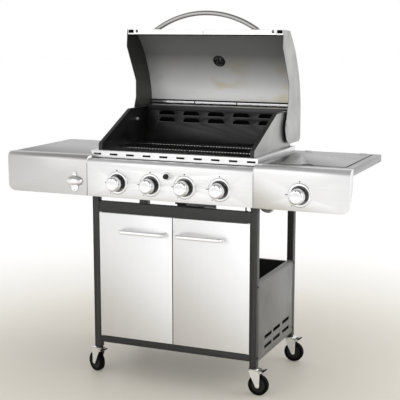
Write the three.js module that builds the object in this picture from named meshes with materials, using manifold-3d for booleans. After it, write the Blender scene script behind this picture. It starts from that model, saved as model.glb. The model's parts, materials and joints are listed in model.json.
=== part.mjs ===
// A gas barbecue grill: a four-burner firebox with a lifting hood, on a trolley with two doors,
// two side shelves (the right one holds a side burner under a flush lid) and four braked castors.
// Millimetres, +Z up, front towards -Y. The grill stands at rest with its hood open.
import * as THREE from "three";
import { mergeVertices } from "three/addons/utils/BufferGeometryUtils.js";
import Module from "manifold-3d";

const wasm = await Module();
wasm.setup();

// ---------------------------------------------------------------- driving dimensions
const SHEET = 2; // thickness of the folded sheet panels
const GAP = 0.35; // clearance left between pieces that touch on the real grill
const ORIGIN_Y = 244.4; // the frame's origin, behind the control panel's front face

// trolley: square tube posts, panels and bottom shelf
const POST = 25;
const POST_WALL = 1.5;
const POST_X = 309.5; // post centre line, left and right
const POST_FRONT_Y = 54.1;
const POST_REAR_Y = 460;
const POST_BOTTOM = 100;
const POST_TOP = 819;
const POST_INNER_X = POST_X - POST / 2;
const RAIL_BOTTOM = 618;
const RAIL_HEIGHT = 40;
const RAIL_DEPTH = 20;
const CABINET_BOTTOM = 122;
const CABINET_FLOOR = 146;
const PANEL_TOP = 398;
const SIDE_PANEL_BOTTOM = 119;

// doors
const DOOR_FRONT_Y = 42;
const DOOR_DEPTH = 16;
const DOOR_INNER_X = 1.5;
const DOOR_OUTER_X = 295;
const DOOR_BOTTOM = 148;
const DOOR_TOP = 616;
const DOOR_HANDLE_Z = 555;
const DOOR_HANDLE_Y = 8;
const DOOR_HANDLE_X = [26, 199];

// control panel, side fascias and shelves
const PANEL_HALF = 320;
const FRONT_BOTTOM = 682;
const CONTROL_TOP = 818;
const SHELF_TOP = 828;
const FASCIA_END = 656;
const SHELF_END = 650;
const SHELF_REAR_Y = 455;
const SHELF_FLANGE = 26;
const FASCIA_DEPTH = 46;
const SHAFT_HOLE_R = 6;
const KNOB_Z = 736;
const KNOB_X = [-197.5, -66, 66, 197.5];
const SIDE_KNOB_X = 484.5;
const IGNITER_Z = 772;

// firebox
const RIM_HALF = 322.5;
const RIM_FRONT_Y = 40;
const RIM_REAR_Y = 452;
const RIM_BOTTOM = 820.4;
const RIM_TOP = 845.4;
const WALL_OUTER_X = 302;
const WALL_FLANGE = 15;
const WALL_BOTTOM = 822;
const WALL_FRONT_Y = 57.7;
const WALL_FRONT_TOP = 869;
const WALL_SLOPE_END = [293, 977.5];
const REAR_WALL_Y = 449;
const REAR_WALL_TOP = 982;
const TRAY_Y = [204, 324]; // the grease tray, front to back
const TRAY_TOP = 640;

// hood, drawn open
const HOOD_HINGE = [370, 932];
const HOOD_SIDE_X = 313; // inner face of the hood's side plates
const HOOD_ARC_CENTRE = [121.8, 960];
const HOOD_ARC_R = 412;
const HOOD_LIP = [322.5, 1277];
const HOOD_BOTTOM = 856;
const HOOD_HANDLE_Y = 350;
const HOOD_HANDLE_HALF = 207;
const HOOD_HANDLE_RISE = 62;
const THERMOMETER_ANGLE = 28.6; // degrees up the hood's arc

// side burner
const WELL_X = [350, 622];
const WELL_Y = [73, 427];
const SIDE_BURNER_Y = 250;
const SIDE_PAN_BOTTOM = 766;
const SIDE_PAN_TOP = 812;

// castors
const WHEEL_R = 37.5;
const WHEEL_WIDTH = 24;
const WHEEL_SIDES = 28;
const AXLE_Z = WHEEL_R * Math.cos(Math.PI / WHEEL_SIDES);
const CASTOR_TRAIL = 18;
const CROWN_Z = [91, 95];
const LUG_Z = [84, 91.5];
const PEDAL_PIN = [31, 87.5]; // in a castor whose pedal is on its trailing side
const PEDAL_HALF = 11;
const PEDAL_SHIFT = 13; // moves a pedal that is turned round to the leading side
const CASTORS = [
  { name: "front_left", x: -POST_X, y: POST_FRONT_Y, turn: 155, pedalSide: -1 },
  { name: "front_right", x: POST_X, y: POST_FRONT_Y, turn: 0, pedalSide: 1 },
  { name: "rear_left", x: -POST_X, y: POST_REAR_Y, turn: 155, pedalSide: 1 },
  { name: "rear_right", x: POST_X, y: POST_REAR_Y, turn: 0, pedalSide: 1 },
];

// ---------------------------------------------------------------- materials
const metal = (color, roughness, metalness = 1) =>
  new THREE.MeshStandardMaterial({ color, roughness, metalness });
const BRUSHED = metal(0xcfcfcc, 0.38);
const BRIGHT = metal(0xe2e2e0, 0.15);
const CHARCOAL = metal(0x3a3a38, 0.55, 0.3);
const GREY_PAINT = metal(0x82827f, 0.5, 0.4);
const HOOD_SILVER = metal(0xa8a9a8, 0.4, 0.7);
const BLACK_ENAMEL = metal(0x161816, 0.45, 0.2);
const CAST_BLACK = metal(0x1c1c1b, 0.7, 0.2);
const ZINC = metal(0xdadad6, 0.28);
const RUBBER = metal(0x191919, 0.85, 0);
const BRASS = metal(0xb89a55, 0.35);
const BLACK_PLASTIC = metal(0x131313, 0.5, 0);

// ---------------------------------------------------------------- geometry helpers
function box([x0, x1], [y0, y1], [z0, z1]) {
  const g = new THREE.BoxGeometry(x1 - x0, y1 - y0, z1 - z0);
  return g.translate((x0 + x1) / 2, (y0 + y1) / 2, (z0 + z1) / 2);
}

function shapeOf(points) {
  return new THREE.Shape(points.map(([a, b]) => new THREE.Vector2(a, b)));
}

function extruded(points, depth) {
  return new THREE.ExtrudeGeometry(shapeOf(points), { depth, bevelEnabled: false, steps: 1 });
}

// An outline in (y, z), extruded from x0 to x1.
function alongX(points, x0, x1) {
  const turn = new THREE.Matrix4().set(0, 0, 1, x0, 1, 0, 0, 0, 0, 1, 0, 0, 0, 0, 0, 1);
  return extruded(points, x1 - x0).applyMatrix4(turn);
}

// An outline in (x, z), extruded from y0 to y1.
function alongY(points, y0, y1) {
  return extruded(points, y1 - y0).rotateX(Math.PI / 2).translate(0, y1, 0);
}

// Round bars along each axis.
function rodX(r, x0, x1, y, z, sides = 12) {
  const g = new THREE.CylinderGeometry(r, r, x1 - x0, sides).rotateZ(Math.PI / 2);
  return g.translate((x0 + x1) / 2, y, z);
}

function rodY(r, y0, y1, x, z, sides = 12) {
  return new THREE.CylinderGeometry(r, r, y1 - y0, sides).translate(x, (y0 + y1) / 2, z);
}

function rodZ(r, z0, z1, x, y, sides = 12) {
  const g = new THREE.CylinderGeometry(r, r, z1 - z0, sides).rotateX(Math.PI / 2);
  return g.translate(x, y, (z0 + z1) / 2);
}

// A turned body about the Y axis from [radius, y] pairs that start and end on the axis.
function turnedY(profile, sides) {
  return new THREE.LatheGeometry(profile.map(([r, y]) => new THREE.Vector2(r, y)), sides);
}

function arcPoints([cx, cy], r, fromDeg, toDeg, steps) {
  const points = [];
  for (let i = 0; i <= steps; i++) {
    const a = THREE.MathUtils.degToRad(fromDeg + ((toDeg - fromDeg) * i) / steps);
    points.push([cx + r * Math.cos(a), cy + r * Math.sin(a)]);
  }
  return points;
}

// A rectangle with rounded corners, in the plane of its outline.
function roundedRect([a0, a1], [b0, b1], r, steps = 3) {
  return [
    ...arcPoints([a1 - r, b0 + r], r, -90, 0, steps),
    ...arcPoints([a1 - r, b1 - r], r, 0, 90, steps),
    ...arcPoints([a0 + r, b1 - r], r, 90, 180, steps),
    ...arcPoints([a0 + r, b0 + r], r, 180, 270, steps),
  ];
}

// The closed outline of a sheet that follows an open path: the path, and back along its left side.
function sheetOutline(path, thickness) {
  const at = path.map(([a, b]) => new THREE.Vector2(a, b));
  const normal = (p, q) => new THREE.Vector2(p.y - q.y, q.x - p.x).normalize();
  const back = at.map((p, i) => {
    const before = normal(at[Math.max(i - 1, 0)], at[Math.max(i, 1)]);
    const last = at.length - 1;
    const after = normal(at[Math.min(i, last - 1)], at[Math.min(i + 1, last)]);
    const miter = before.clone().add(after).normalize();
    const reach = thickness / miter.dot(after);
    return [p.x + miter.x * reach, p.y + miter.y * reach];
  });
  return [...path, ...back.reverse()];
}

function solid(geometry) {
  const g = geometry.clone();
  g.deleteAttribute("normal");
  g.deleteAttribute("uv");
  const merged = mergeVertices(g, 1e-3);
  const vertProperties = merged.attributes.position.array;
  const triVerts = new Uint32Array(merged.index.array);
  return new wasm.Manifold(new wasm.Mesh({ numProp: 3, vertProperties, triVerts }));
}

function geometryOf(made) {
  const { vertProperties, triVerts } = made.getMesh();
  const g = new THREE.BufferGeometry();
  g.setAttribute("position", new THREE.BufferAttribute(new Float32Array(vertProperties), 3));
  g.setIndex(new THREE.BufferAttribute(triVerts, 1));
  g.computeVertexNormals();
  return g;
}

function joined(first, ...others) {
  return geometryOf(others.reduce((sum, g) => sum.add(solid(g)), solid(first)));
}

function cut(first, ...cutters) {
  return geometryOf(cutters.reduce((rest, g) => rest.subtract(solid(g)), solid(first)));
}

function common(first, second) {
  return geometryOf(solid(first).intersect(solid(second)));
}

const grill = new THREE.Group();
grill.position.y = -ORIGIN_Y;

function addPiece(name, geometry, material, parent = grill) {
  const mesh = new THREE.Mesh(geometry, material);
  mesh.name = name;
  parent.add(mesh);
  return mesh;
}

// A piece and its mirror image across the grill's middle plane.
function addPair(name, rightGeometry, material) {
  addPiece("right_" + name, rightGeometry, material);
  addPiece("left_" + name, rightGeometry, material).scale.x = -1;
}

// ---------------------------------------------------------------- trolley
// A post is a square tube with an end plug and the castor's fixed race under it.
function postGeometry(x, y) {
  const PLUG = 12;
  const RACE_R = 13;
  const RACE_DROP = 2.7;
  const half = POST / 2;
  const hollow = half - POST_WALL;
  const tube = box([x - half, x + half], [y - half, y + half], [POST_BOTTOM, POST_TOP]);
  const bore = [POST_BOTTOM + PLUG, POST_TOP + 1];
  const inside = box([x - hollow, x + hollow], [y - hollow, y + hollow], bore);
  const race = rodZ(RACE_R, POST_BOTTOM - RACE_DROP, POST_BOTTOM + 1, x, y, 16);
  return joined(cut(tube, inside), race);
}

function addPosts() {
  for (const { name, x, y } of CASTORS) addPiece(name + "_post", postGeometry(x, y), CHARCOAL);
}

function addTopRail() {
  const WALL = 1.5;
  const half = POST_INNER_X - GAP;
  const y = [DOOR_FRONT_Y + 1, DOOR_FRONT_Y + 1 + RAIL_DEPTH];
  const z = [RAIL_BOTTOM, RAIL_BOTTOM + RAIL_HEIGHT];
  const tube = box([-half, half], y, z);
  const bore = box([-half - 1, half + 1], [y[0] + WALL, y[1] - WALL], [z[0] + WALL, z[1] - WALL]);
  addPiece("front_top_rail", cut(tube, bore), CHARCOAL);
}

// A side panel: a sheet between the posts with a chamfered top edge, a top flange and air slots.
function sidePanelGeometry() {
  const FACE_X = 321.5;
  const CHAMFER = 8;
  const FLANGE = 10;
  const SLOT = [78, 13];
  const SLOT_Y = [169, 264, 369];
  const SLOT_Z = [188, 152];
  const THROUGH = [310, 330]; // how far each slot's cutter reaches, inside to outside
  const y0 = POST_FRONT_Y + POST / 2 + GAP;
  const y1 = POST_REAR_Y - POST / 2 - GAP;
  const path = [
    [FACE_X, SIDE_PANEL_BOTTOM],
    [FACE_X, PANEL_TOP],
    [FACE_X - CHAMFER, PANEL_TOP + CHAMFER],
    [FACE_X - CHAMFER - FLANGE, PANEL_TOP + CHAMFER],
  ];
  const panel = alongY(sheetOutline(path, SHEET), y0, y1);
  const around = (middle, size) => [middle - size / 2, middle + size / 2];
  const slots = SLOT_Y.flatMap((y) =>
    SLOT_Z.map((z) => box(THROUGH, around(y, SLOT[0]), around(z, SLOT[1]))),
  );
  return cut(panel, ...slots);
}

function addBackPanel() {
  const FOLD = 14;
  const half = POST_INNER_X - GAP;
  const y = POST_REAR_Y;
  const sheet = box([-half, half], [y - SHEET, y], [SIDE_PANEL_BOTTOM, PANEL_TOP]);
  const fold = box([-half, half], [y - FOLD, y], [PANEL_TOP - SHEET, PANEL_TOP]);
  addPiece("back_panel", joined(sheet, fold), CHARCOAL);
}

// The cabinet's floor: a tray with a deep folded front edge, which shows below the doors.
function addBottomShelf() {
  const WING_X = 319; // the floor reaches out between the posts, to the side panels
  const half = POST_INNER_X - GAP;
  const y0 = DOOR_FRONT_Y + 1;
  const y1 = POST_REAR_Y - SHEET - GAP;
  const clear = POST / 2 + GAP;
  const top = [CABINET_FLOOR - SHEET, CABINET_FLOOR];
  const floor = box([-half, half], [y0, y1], top);
  const wings = box([-WING_X, WING_X], [POST_FRONT_Y + clear, POST_REAR_Y - clear], top);
  const front = box([-half, half], [y0, y0 + SHEET], [CABINET_BOTTOM, CABINET_FLOOR]);
  const back = box([-half, half], [y1 - SHEET, y1], [CABINET_BOTTOM, CABINET_FLOOR]);
  addPiece("bottom_shelf", joined(floor, wings, front, back), CHARCOAL);
}

// ---------------------------------------------------------------- doors
// A door is a folded pan, open at the back.
function doorGeometry() {
  const x = [DOOR_INNER_X, DOOR_OUTER_X];
  const y = [DOOR_FRONT_Y, DOOR_FRONT_Y + DOOR_DEPTH];
  const z = [DOOR_BOTTOM, DOOR_TOP];
  const inside = box([x[0] + SHEET, x[1] - SHEET], [y[0] + SHEET, y[1] + 1], [z[0] + SHEET, z[1] - SHEET]);
  return cut(box(x, y, z), inside);
}

// A bar handle: a bent round rod whose two legs stand on the door.
function doorHandleGeometry() {
  const R = 5;
  const SIDES = 8;
  const STEPS = 26;
  const BEND = 16;
  const [a, b] = DOOR_HANDLE_X;
  const z = DOOR_HANDLE_Z;
  const path = new THREE.CurvePath();
  const at = (x, y) => new THREE.Vector3(x, y, z);
  const y0 = DOOR_FRONT_Y - GAP;
  const y1 = DOOR_HANDLE_Y;
  path.add(new THREE.LineCurve3(at(a, y0), at(a, y1 + BEND)));
  path.add(new THREE.QuadraticBezierCurve3(at(a, y1 + BEND), at(a, y1), at(a + BEND, y1)));
  path.add(new THREE.LineCurve3(at(a + BEND, y1), at(b - BEND, y1)));
  path.add(new THREE.QuadraticBezierCurve3(at(b - BEND, y1), at(b, y1), at(b, y1 + BEND)));
  path.add(new THREE.LineCurve3(at(b, y1 + BEND), at(b, y0)));
  return tubeAlong(path, R, SIDES, STEPS);
}

function tubeAlong(path, r, sides, steps) {
  const ring = arcPoints([0, 0], r, 0, 360 - 360 / sides, sides - 1);
  return new THREE.ExtrudeGeometry(shapeOf(ring), { steps, bevelEnabled: false, extrudePath: path });
}

// ---------------------------------------------------------------- front panels and shelves
// The hole that a knob's shaft passes through, in a front that stands at y = 0.
function shaftHole(x) {
  return rodY(SHAFT_HOLE_R, -5, 5, x, KNOB_Z);
}

// The folded front of the control panel: a bottom return, the face, a rounded top and a top return.
function addControlPanel() {
  const R = 18;
  const RETURN = 16;
  const IGNITER_HOLE_R = 6.5;
  const path = [
    [RETURN, FRONT_BOTTOM],
    [0, FRONT_BOTTOM],
    ...arcPoints([R, CONTROL_TOP - R], R, 180, 90, 5),
    [RIM_FRONT_Y - 1, CONTROL_TOP],
  ];
  const outline = sheetOutline([...path].reverse(), SHEET);
  const face = alongX(outline, -PANEL_HALF + GAP, PANEL_HALF - GAP);
  const shaftHoles = KNOB_X.map((x) => shaftHole(x));
  const igniterHole = rodY(IGNITER_HOLE_R, -5, 5, 0, IGNITER_Z);
  addPiece("control_panel", cut(face, ...shaftHoles, igniterHole), BRUSHED);
}

// A side fascia: the shelf's front, with a rounded top edge, a rounded lower outer corner
// and an end return that narrows towards the bottom.
function fasciaGeometry(withShaftHole) {
  const R_TOP = 22;
  const R_CORNER = 28;
  const SIDES = 5;
  const PAST = 20; // how far a cutter reaches past the piece
  const x0 = PANEL_HALF + GAP;
  // The fascia's section and its front outline, both moved inwards by t.
  const section = (t) => {
    const rear = t ? FASCIA_DEPTH + PAST : FASCIA_DEPTH;
    return [
      [t, FRONT_BOTTOM + t],
      [rear, FRONT_BOTTOM + t],
      [rear, SHELF_TOP - t],
      ...arcPoints([R_TOP, SHELF_TOP - R_TOP], R_TOP - t, 90, 180, SIDES),
    ];
  };
  const front = (t) => {
    const start = t ? x0 - PAST : x0;
    const corner = [FASCIA_END - R_CORNER, FRONT_BOTTOM + R_CORNER];
    return [
      [start, FRONT_BOTTOM + t],
      ...arcPoints(corner, R_CORNER - t, -90, 0, SIDES),
      [FASCIA_END - t, SHELF_TOP + PAST],
      [start, SHELF_TOP + PAST],
    ];
  };
  const outerFront = alongY(front(0), -PAST, FASCIA_DEPTH + PAST);
  const innerFront = alongY(front(SHEET), -PAST, FASCIA_DEPTH + PAST);
  const outer = common(alongX(section(0), x0, FASCIA_END), outerFront);
  const inner = common(alongX(section(SHEET), x0 - PAST, FASCIA_END), innerFront);
  // What is cut from behind leaves the end return deep at the top and narrow at the bottom.
  const behind = [
    [12, FRONT_BOTTOM - PAST],
    [FASCIA_DEPTH + PAST, FRONT_BOTTOM - PAST],
    [FASCIA_DEPTH + PAST, SHELF_TOP - SHEET],
    [38, SHELF_TOP - SHEET],
    [38, 766],
    [33, 750],
    [19, 728],
    [12, 708],
  ];
  const besideRim = box(
    [x0 - PAST, RIM_HALF + GAP],
    [RIM_FRONT_Y - GAP, FASCIA_DEPTH + PAST],
    [RIM_BOTTOM - 5, SHELF_TOP + PAST],
  );
  const shell = cut(outer, inner, besideRim, alongX(behind, x0 - PAST, FASCIA_END + PAST));
  return withShaftHole ? cut(shell, shaftHole(SIDE_KNOB_X)) : shell;
}

// A side shelf: a plate with edges folded down. The right one has the side burner's well.
function shelfGeometry(withWell) {
  const x = [RIM_HALF + 1, SHELF_END];
  const y = [FASCIA_DEPTH + GAP, SHELF_REAR_Y];
  const z = [SHELF_TOP - SHELF_FLANGE, SHELF_TOP];
  const inside = box([x[0] + SHEET, x[1] - SHEET], [y[0] - 1, y[1] - SHEET], [z[0] - 1, z[1] - SHEET]);
  const tray = cut(box(x, y, z), inside);
  return withWell ? cut(tray, box(WELL_X, WELL_Y, [z[1] - 10, z[1] + 10])) : tray;
}

function addFrontsAndShelves() {
  addPiece("right_fascia", fasciaGeometry(true), BRUSHED);
  addPiece("left_fascia", fasciaGeometry(false), BRUSHED).scale.x = -1;
  addPiece("right_shelf", shelfGeometry(true), BRUSHED);
  addPiece("left_shelf", shelfGeometry(false), BRUSHED).scale.x = -1;
}

// ---------------------------------------------------------------- firebox
// The rim round the firebox: a slotted front, two side faces and a narrow top ledge.
function addRim() {
  const SLOTS = 10;
  const SLOT_PITCH = 66.2;
  const SLOT_SIZE = [31, 6.5];
  const SLOT_Z = 832.5;
  const y = [RIM_FRONT_Y, RIM_REAR_Y];
  const ledgeX = WALL_OUTER_X + GAP;
  const block = box([-RIM_HALF, RIM_HALF], y, [RIM_BOTTOM, RIM_TOP]);
  const under = box(
    [-RIM_HALF + SHEET, RIM_HALF - SHEET],
    [y[0] + SHEET, y[1] - SHEET],
    [RIM_BOTTOM - 1, RIM_TOP - SHEET],
  );
  const opening = box([-ledgeX, ledgeX], [WALL_FRONT_Y - GAP, y[1] + 1], [RIM_BOTTOM - 1, RIM_TOP + 1]);
  const slots = Array.from({ length: SLOTS }, (_, i) => {
    const x = (i - (SLOTS - 1) / 2) * SLOT_PITCH;
    const z = [SLOT_Z - SLOT_SIZE[1] / 2, SLOT_Z + SLOT_SIZE[1] / 2];
    return box([x - SLOT_SIZE[0] / 2, x + SLOT_SIZE[0] / 2], [y[0] - 5, y[0] + 5], z);
  });
  addPiece("firebox_rim", cut(block, under, opening, ...slots), BRUSHED);
}

// A firebox side wall: a sheet whose front, sloping and top edges are folded inwards.
function fireboxWallGeometry() {
  const [slopeY, top] = WALL_SLOPE_END;
  const rear = REAR_WALL_Y - GAP;
  const outline = (t) => [
    [WALL_FRONT_Y + t, WALL_BOTTOM - t],
    [rear + t, WALL_BOTTOM - t],
    [rear + t, top - t],
    [slopeY + t * 0.2, top - t],
    [WALL_FRONT_Y + t, WALL_FRONT_TOP - t * 0.7],
  ];
  const blank = alongX(outline(0), WALL_OUTER_X - WALL_FLANGE, WALL_OUTER_X);
  return cut(blank, alongX(outline(SHEET), WALL_OUTER_X - WALL_FLANGE - 1, WALL_OUTER_X - SHEET));
}

// A louvre slot has a flat bottom and rounded upper corners.
function louvreCutter(x, z) {
  const HALF = 34;
  const HEIGHT = 16;
  const R = 13;
  const outline = [
    [x - HALF, z],
    [x + HALF, z],
    ...arcPoints([x + HALF - R, z + HEIGHT - R], R, 0, 90, 3),
    ...arcPoints([x - HALF + R, z + HEIGHT - R], R, 90, 180, 3),
  ];
  return alongY(outline, REAR_WALL_Y - 5, REAR_WALL_Y + 5);
}

// The rear wall has a folded top rail and two rows of five louvre slots.
function addRearWall() {
  const LOUVRE_PITCH = 104.5;
  const LOUVRE_BASE_Z = [944, 917];
  const TOP_RAIL = [12, 16]; // depth and height
  const y = REAR_WALL_Y;
  const louvreRow = (z) => [-2, -1, 0, 1, 2].map((i) => louvreCutter(i * LOUVRE_PITCH, z));
  const louvres = LOUVRE_BASE_Z.flatMap(louvreRow);
  const sheet = box([-WALL_OUTER_X, WALL_OUTER_X], [y, y + SHEET], [WALL_BOTTOM, REAR_WALL_TOP]);
  const railHalf = WALL_OUTER_X - WALL_FLANGE - GAP;
  const railZ = [REAR_WALL_TOP - TOP_RAIL[1], REAR_WALL_TOP];
  const rail = box([-railHalf, railHalf], [y - TOP_RAIL[0], y + 1], railZ);
  addPiece("firebox_rear_wall", joined(cut(sheet, ...louvres), rail), BLACK_ENAMEL);
}

// A box whose lower face is smaller than its upper face.
function hopper([topX, topY], [lowX, lowY], [z0, z1], centreY) {
  const g = new THREE.BoxGeometry(2, 2, z1 - z0);
  const position = g.getAttribute("position");
  for (let i = 0; i < position.count; i++) {
    const high = position.getZ(i) > 0;
    const x = position.getX(i) * (high ? topX : lowX);
    const y = position.getY(i) * (high ? topY : lowY);
    position.setXY(i, x, y);
  }
  return g.translate(0, centreY, (z0 + z1) / 2);
}

// The drip pan under the burners: a box over a hopper with a drain hole, with slots for the
// burners' inlets and two hangers whose lips carry the grease tray.
function addDripPan() {
  const HALF = [294, 186];
  const LOW = [60, 60];
  const KNEE = 752;
  const BOTTOM = 702;
  const CENTRE_Y = 260;
  const DRAIN_R = 20;
  const INLET_HALF = 16; // half the width of the slot round a burner's inlet
  const INLET_Y = [70, 90];
  const INLET_Z = [764, 830];
  const WEB_X = [63, 65];
  const LIP_X = [57, 64];
  const LIP_Z = [TRAY_TOP - 5, TRAY_TOP - 3];
  const body = (t, top) => {
    const x = [-HALF[0] + t, HALF[0] - t];
    const y = [CENTRE_Y - HALF[1] + t, CENTRE_Y + HALF[1] - t];
    const wide = [HALF[0] - t, HALF[1] - t];
    const narrow = [LOW[0] - t, LOW[1] - t];
    return joined(box(x, y, [KNEE, top]), hopper(wide, narrow, [BOTTOM + t, KNEE], CENTRE_Y));
  };
  const shell = cut(
    body(0, RIM_BOTTOM - 1),
    body(SHEET, RIM_BOTTOM),
    rodZ(DRAIN_R, BOTTOM - 5, BOTTOM + 5, 0, CENTRE_Y, 16),
    ...KNOB_X.map((x) => box([x - INLET_HALF, x + INLET_HALF], INLET_Y, INLET_Z)),
  );
  const hangers = [-1, 1].flatMap((side) => {
    const span = ([a, b]) => (side < 0 ? [-b, -a] : [a, b]);
    const along = [TRAY_Y[0] + 4, TRAY_Y[1] - 4];
    const web = box(span(WEB_X), along, [LIP_Z[0], BOTTOM + SHEET]);
    const lip = box(span(LIP_X), along, LIP_Z);
    return [web, lip];
  });
  addPiece("drip_pan", joined(shell, ...hangers), GREY_PAINT);
}

// The grease tray hangs by its rim and pulls out towards the back.
function addGreaseTray() {
  const DEPTH = 40;
  const HALF = 55;
  const RIM = 61;
  const PULL = [25, 16]; // half its width, and how far it stands out
  const z0 = TRAY_TOP - DEPTH;
  const sheetZ = [TRAY_TOP - SHEET, TRAY_TOP];
  const body = box([-HALF, HALF], TRAY_Y, [z0, TRAY_TOP]);
  const rim = box([-RIM, RIM], TRAY_Y, sheetZ);
  const pull = box([-PULL[0], PULL[0]], [TRAY_Y[1] - 1, TRAY_Y[1] + PULL[1]], sheetZ);
  const inside = box(
    [-HALF + SHEET, HALF - SHEET],
    [TRAY_Y[0] + SHEET, TRAY_Y[1] - SHEET],
    [z0 + SHEET, TRAY_TOP + 1],
  );
  addPiece("grease_tray", cut(joined(body, rim, pull), inside), BLACK_ENAMEL);
}

// A tube burner: a narrow open inlet at the front, a flare, a long tube and a closed rear end.
function burnerGeometry(x) {
  const BURNER_Z = 782;
  const R = 13;
  const INLET_R = 9;
  const WALL = 1.5;
  const [front, neck, flare, shoulder, rear] = [74, 112, 126, 424, 432];
  const profile = [
    [0, rear - 2],
    [INLET_R - 0.5, rear - 2],
    [R - WALL, shoulder - 1],
    [R - WALL, flare + 1],
    [INLET_R - WALL, neck],
    [INLET_R - WALL, front],
    [INLET_R, front],
    [INLET_R, neck],
    [R, flare],
    [R, shoulder],
    [INLET_R, rear],
    [0, rear],
  ];
  return turnedY(profile, 12).translate(x, 0, BURNER_Z);
}

// The gas manifold: a pipe across the front with one valve for each knob, and the feed pipe
// that dips round the right front post and rises to the side burner's valve.
function addManifold() {
  const PIPE_R = 8;
  const PIPE_Y = 54;
  const PIPE_X = [-230, 276];
  const VALVE_R = 11;
  const VALVE_FRONT = 14;
  const SHAFT_R = 4;
  const SHAFT_FRONT = -1;
  const NOZZLE_R = 6;
  const NOZZLE_TOP = 776;
  const FEED_R = 6;
  const INLET_R = 11;
  const INLET_X = [-252, -228];
  const pipe = rodX(PIPE_R, ...PIPE_X, PIPE_Y, KNOB_Z, 10);
  const valve = (x) => [
    rodY(VALVE_R, VALVE_FRONT, PIPE_Y, x, KNOB_Z, 10),
    rodY(SHAFT_R, SHAFT_FRONT, VALVE_FRONT + 1, x, KNOB_Z, 8),
  ];
  const nozzle = (x) => rodZ(NOZZLE_R, KNOB_Z, NOZZLE_TOP, x, PIPE_Y, 8);
  const route = [
    [270, PIPE_Y, KNOB_Z],
    [284, 78, 716],
    [304, 94, 680],
    [330, 96, 658],
    [356, 92, 662],
    [374, 80, 690],
    [400, 62, 726],
    [440, PIPE_Y, KNOB_Z],
    [SIDE_KNOB_X, PIPE_Y, KNOB_Z],
  ].map(([x, y, z]) => new THREE.Vector3(x, y, z));
  const feed = tubeAlong(new THREE.CatmullRomCurve3(route), FEED_R, 8, 30);
  const inlet = rodX(INLET_R, ...INLET_X, PIPE_Y, KNOB_Z, 10);
  const fittings = KNOB_X.flatMap((x) => [...valve(x), nozzle(x)]);
  addPiece("gas_manifold", joined(pipe, ...fittings, ...valve(SIDE_KNOB_X), feed, inlet), BRASS);
}

// The heat shield over the burners: one folded sheet with a tent above each burner.
function addHeatShield() {
  const FOOT_Z = 800;
  const PEAK_Z = 818;
  const END_X = 286;
  const Y = [84, 426];
  const THICKNESS = 1.5;
  const TENT_HALF = 30;
  const TENT_SPREAD = 1.04; // the tents stand a little further apart than the knobs
  const GAP_PITCH = 136;
  const GAP_HALF = 24;
  const BRIDGE = 16; // what stays of the sheet at each end of a gap
  const path = [[-END_X, FOOT_Z]];
  for (const knobX of KNOB_X) {
    const x = knobX * TENT_SPREAD;
    path.push([x - TENT_HALF, FOOT_Z], [x, PEAK_Z], [x + TENT_HALF, FOOT_Z]);
  }
  path.push([END_X, FOOT_Z]);
  const gaps = [-1, 0, 1].map((i) => {
    const x = [i * GAP_PITCH - GAP_HALF, i * GAP_PITCH + GAP_HALF];
    return box(x, [Y[0] + BRIDGE, Y[1] - BRIDGE], [FOOT_Z - 10, PEAK_Z + 10]);
  });
  const sheet = alongY(sheetOutline(path, -THICKNESS), ...Y);
  addPiece("heat_shield", cut(sheet, ...gaps), BLACK_ENAMEL);
}

// One half of the cooking grate: bars from front to back, joined by cross bars.
function grateGeometry() {
  const X = [1.5, 298];
  const Y = [60, 440];
  const Z = [838, 844];
  const BARS = 20;
  const ROWS = 2;
  const BAR = 5.5;
  const CROSS = 8;
  const pitch = (X[1] - X[0] - BAR) / (BARS - 1);
  const rowLength = (Y[1] - Y[0] - CROSS) / ROWS;
  const gaps = [];
  for (let i = 0; i < BARS - 1; i++) {
    for (let row = 0; row < ROWS; row++) {
      const x = X[0] + BAR + i * pitch;
      const y = Y[0] + CROSS + row * rowLength;
      gaps.push(box([x, x + pitch - BAR], [y, y + rowLength - CROSS], [Z[0] - 5, Z[1] + 5]));
    }
  }
  return cut(box(X, Y, Z), ...gaps);
}

// ---------------------------------------------------------------- hood
// The outer line of the hood's skin, open, from its lower rear edge round to the front lip.
function hoodSkinPath() {
  const [cy, cz] = HOOD_ARC_CENTRE;
  const back = cy + HOOD_ARC_R;
  const R_LOW = 20;
  const SHOULDER = 47.5; // degrees: where the arc meets the hood's front face
  return [
    [470, HOOD_BOTTOM],
    ...arcPoints([back - R_LOW, HOOD_BOTTOM + R_LOW], R_LOW, -90, 0, 4),
    ...arcPoints([cy, cz], HOOD_ARC_R, 0, SHOULDER, 14),
    [HOOD_LIP[0] + 70, HOOD_LIP[1] - 4.5],
    [HOOD_LIP[0], HOOD_LIP[1]],
    [HOOD_LIP[0] + 1, HOOD_LIP[1] - 19],
  ];
}

function thermometerPlace() {
  const a = THREE.MathUtils.degToRad(THERMOMETER_ANGLE);
  const [cy, cz] = HOOD_ARC_CENTRE;
  return { a, y: cy + HOOD_ARC_R * Math.cos(a), z: cz + HOOD_ARC_R * Math.sin(a) };
}

function addHoodShell() {
  const half = HOOD_SIDE_X - GAP;
  const HOLE_R = 9;
  const skin = alongX(sheetOutline(hoodSkinPath(), SHEET), -half, half);
  const { a, y, z } = thermometerPlace();
  const hole = new THREE.CylinderGeometry(HOLE_R, HOLE_R, 30, 14).rotateX(a).translate(0, y, z);
  addPiece("hood_shell", cut(skin, hole), HOOD_SILVER);
}

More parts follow.
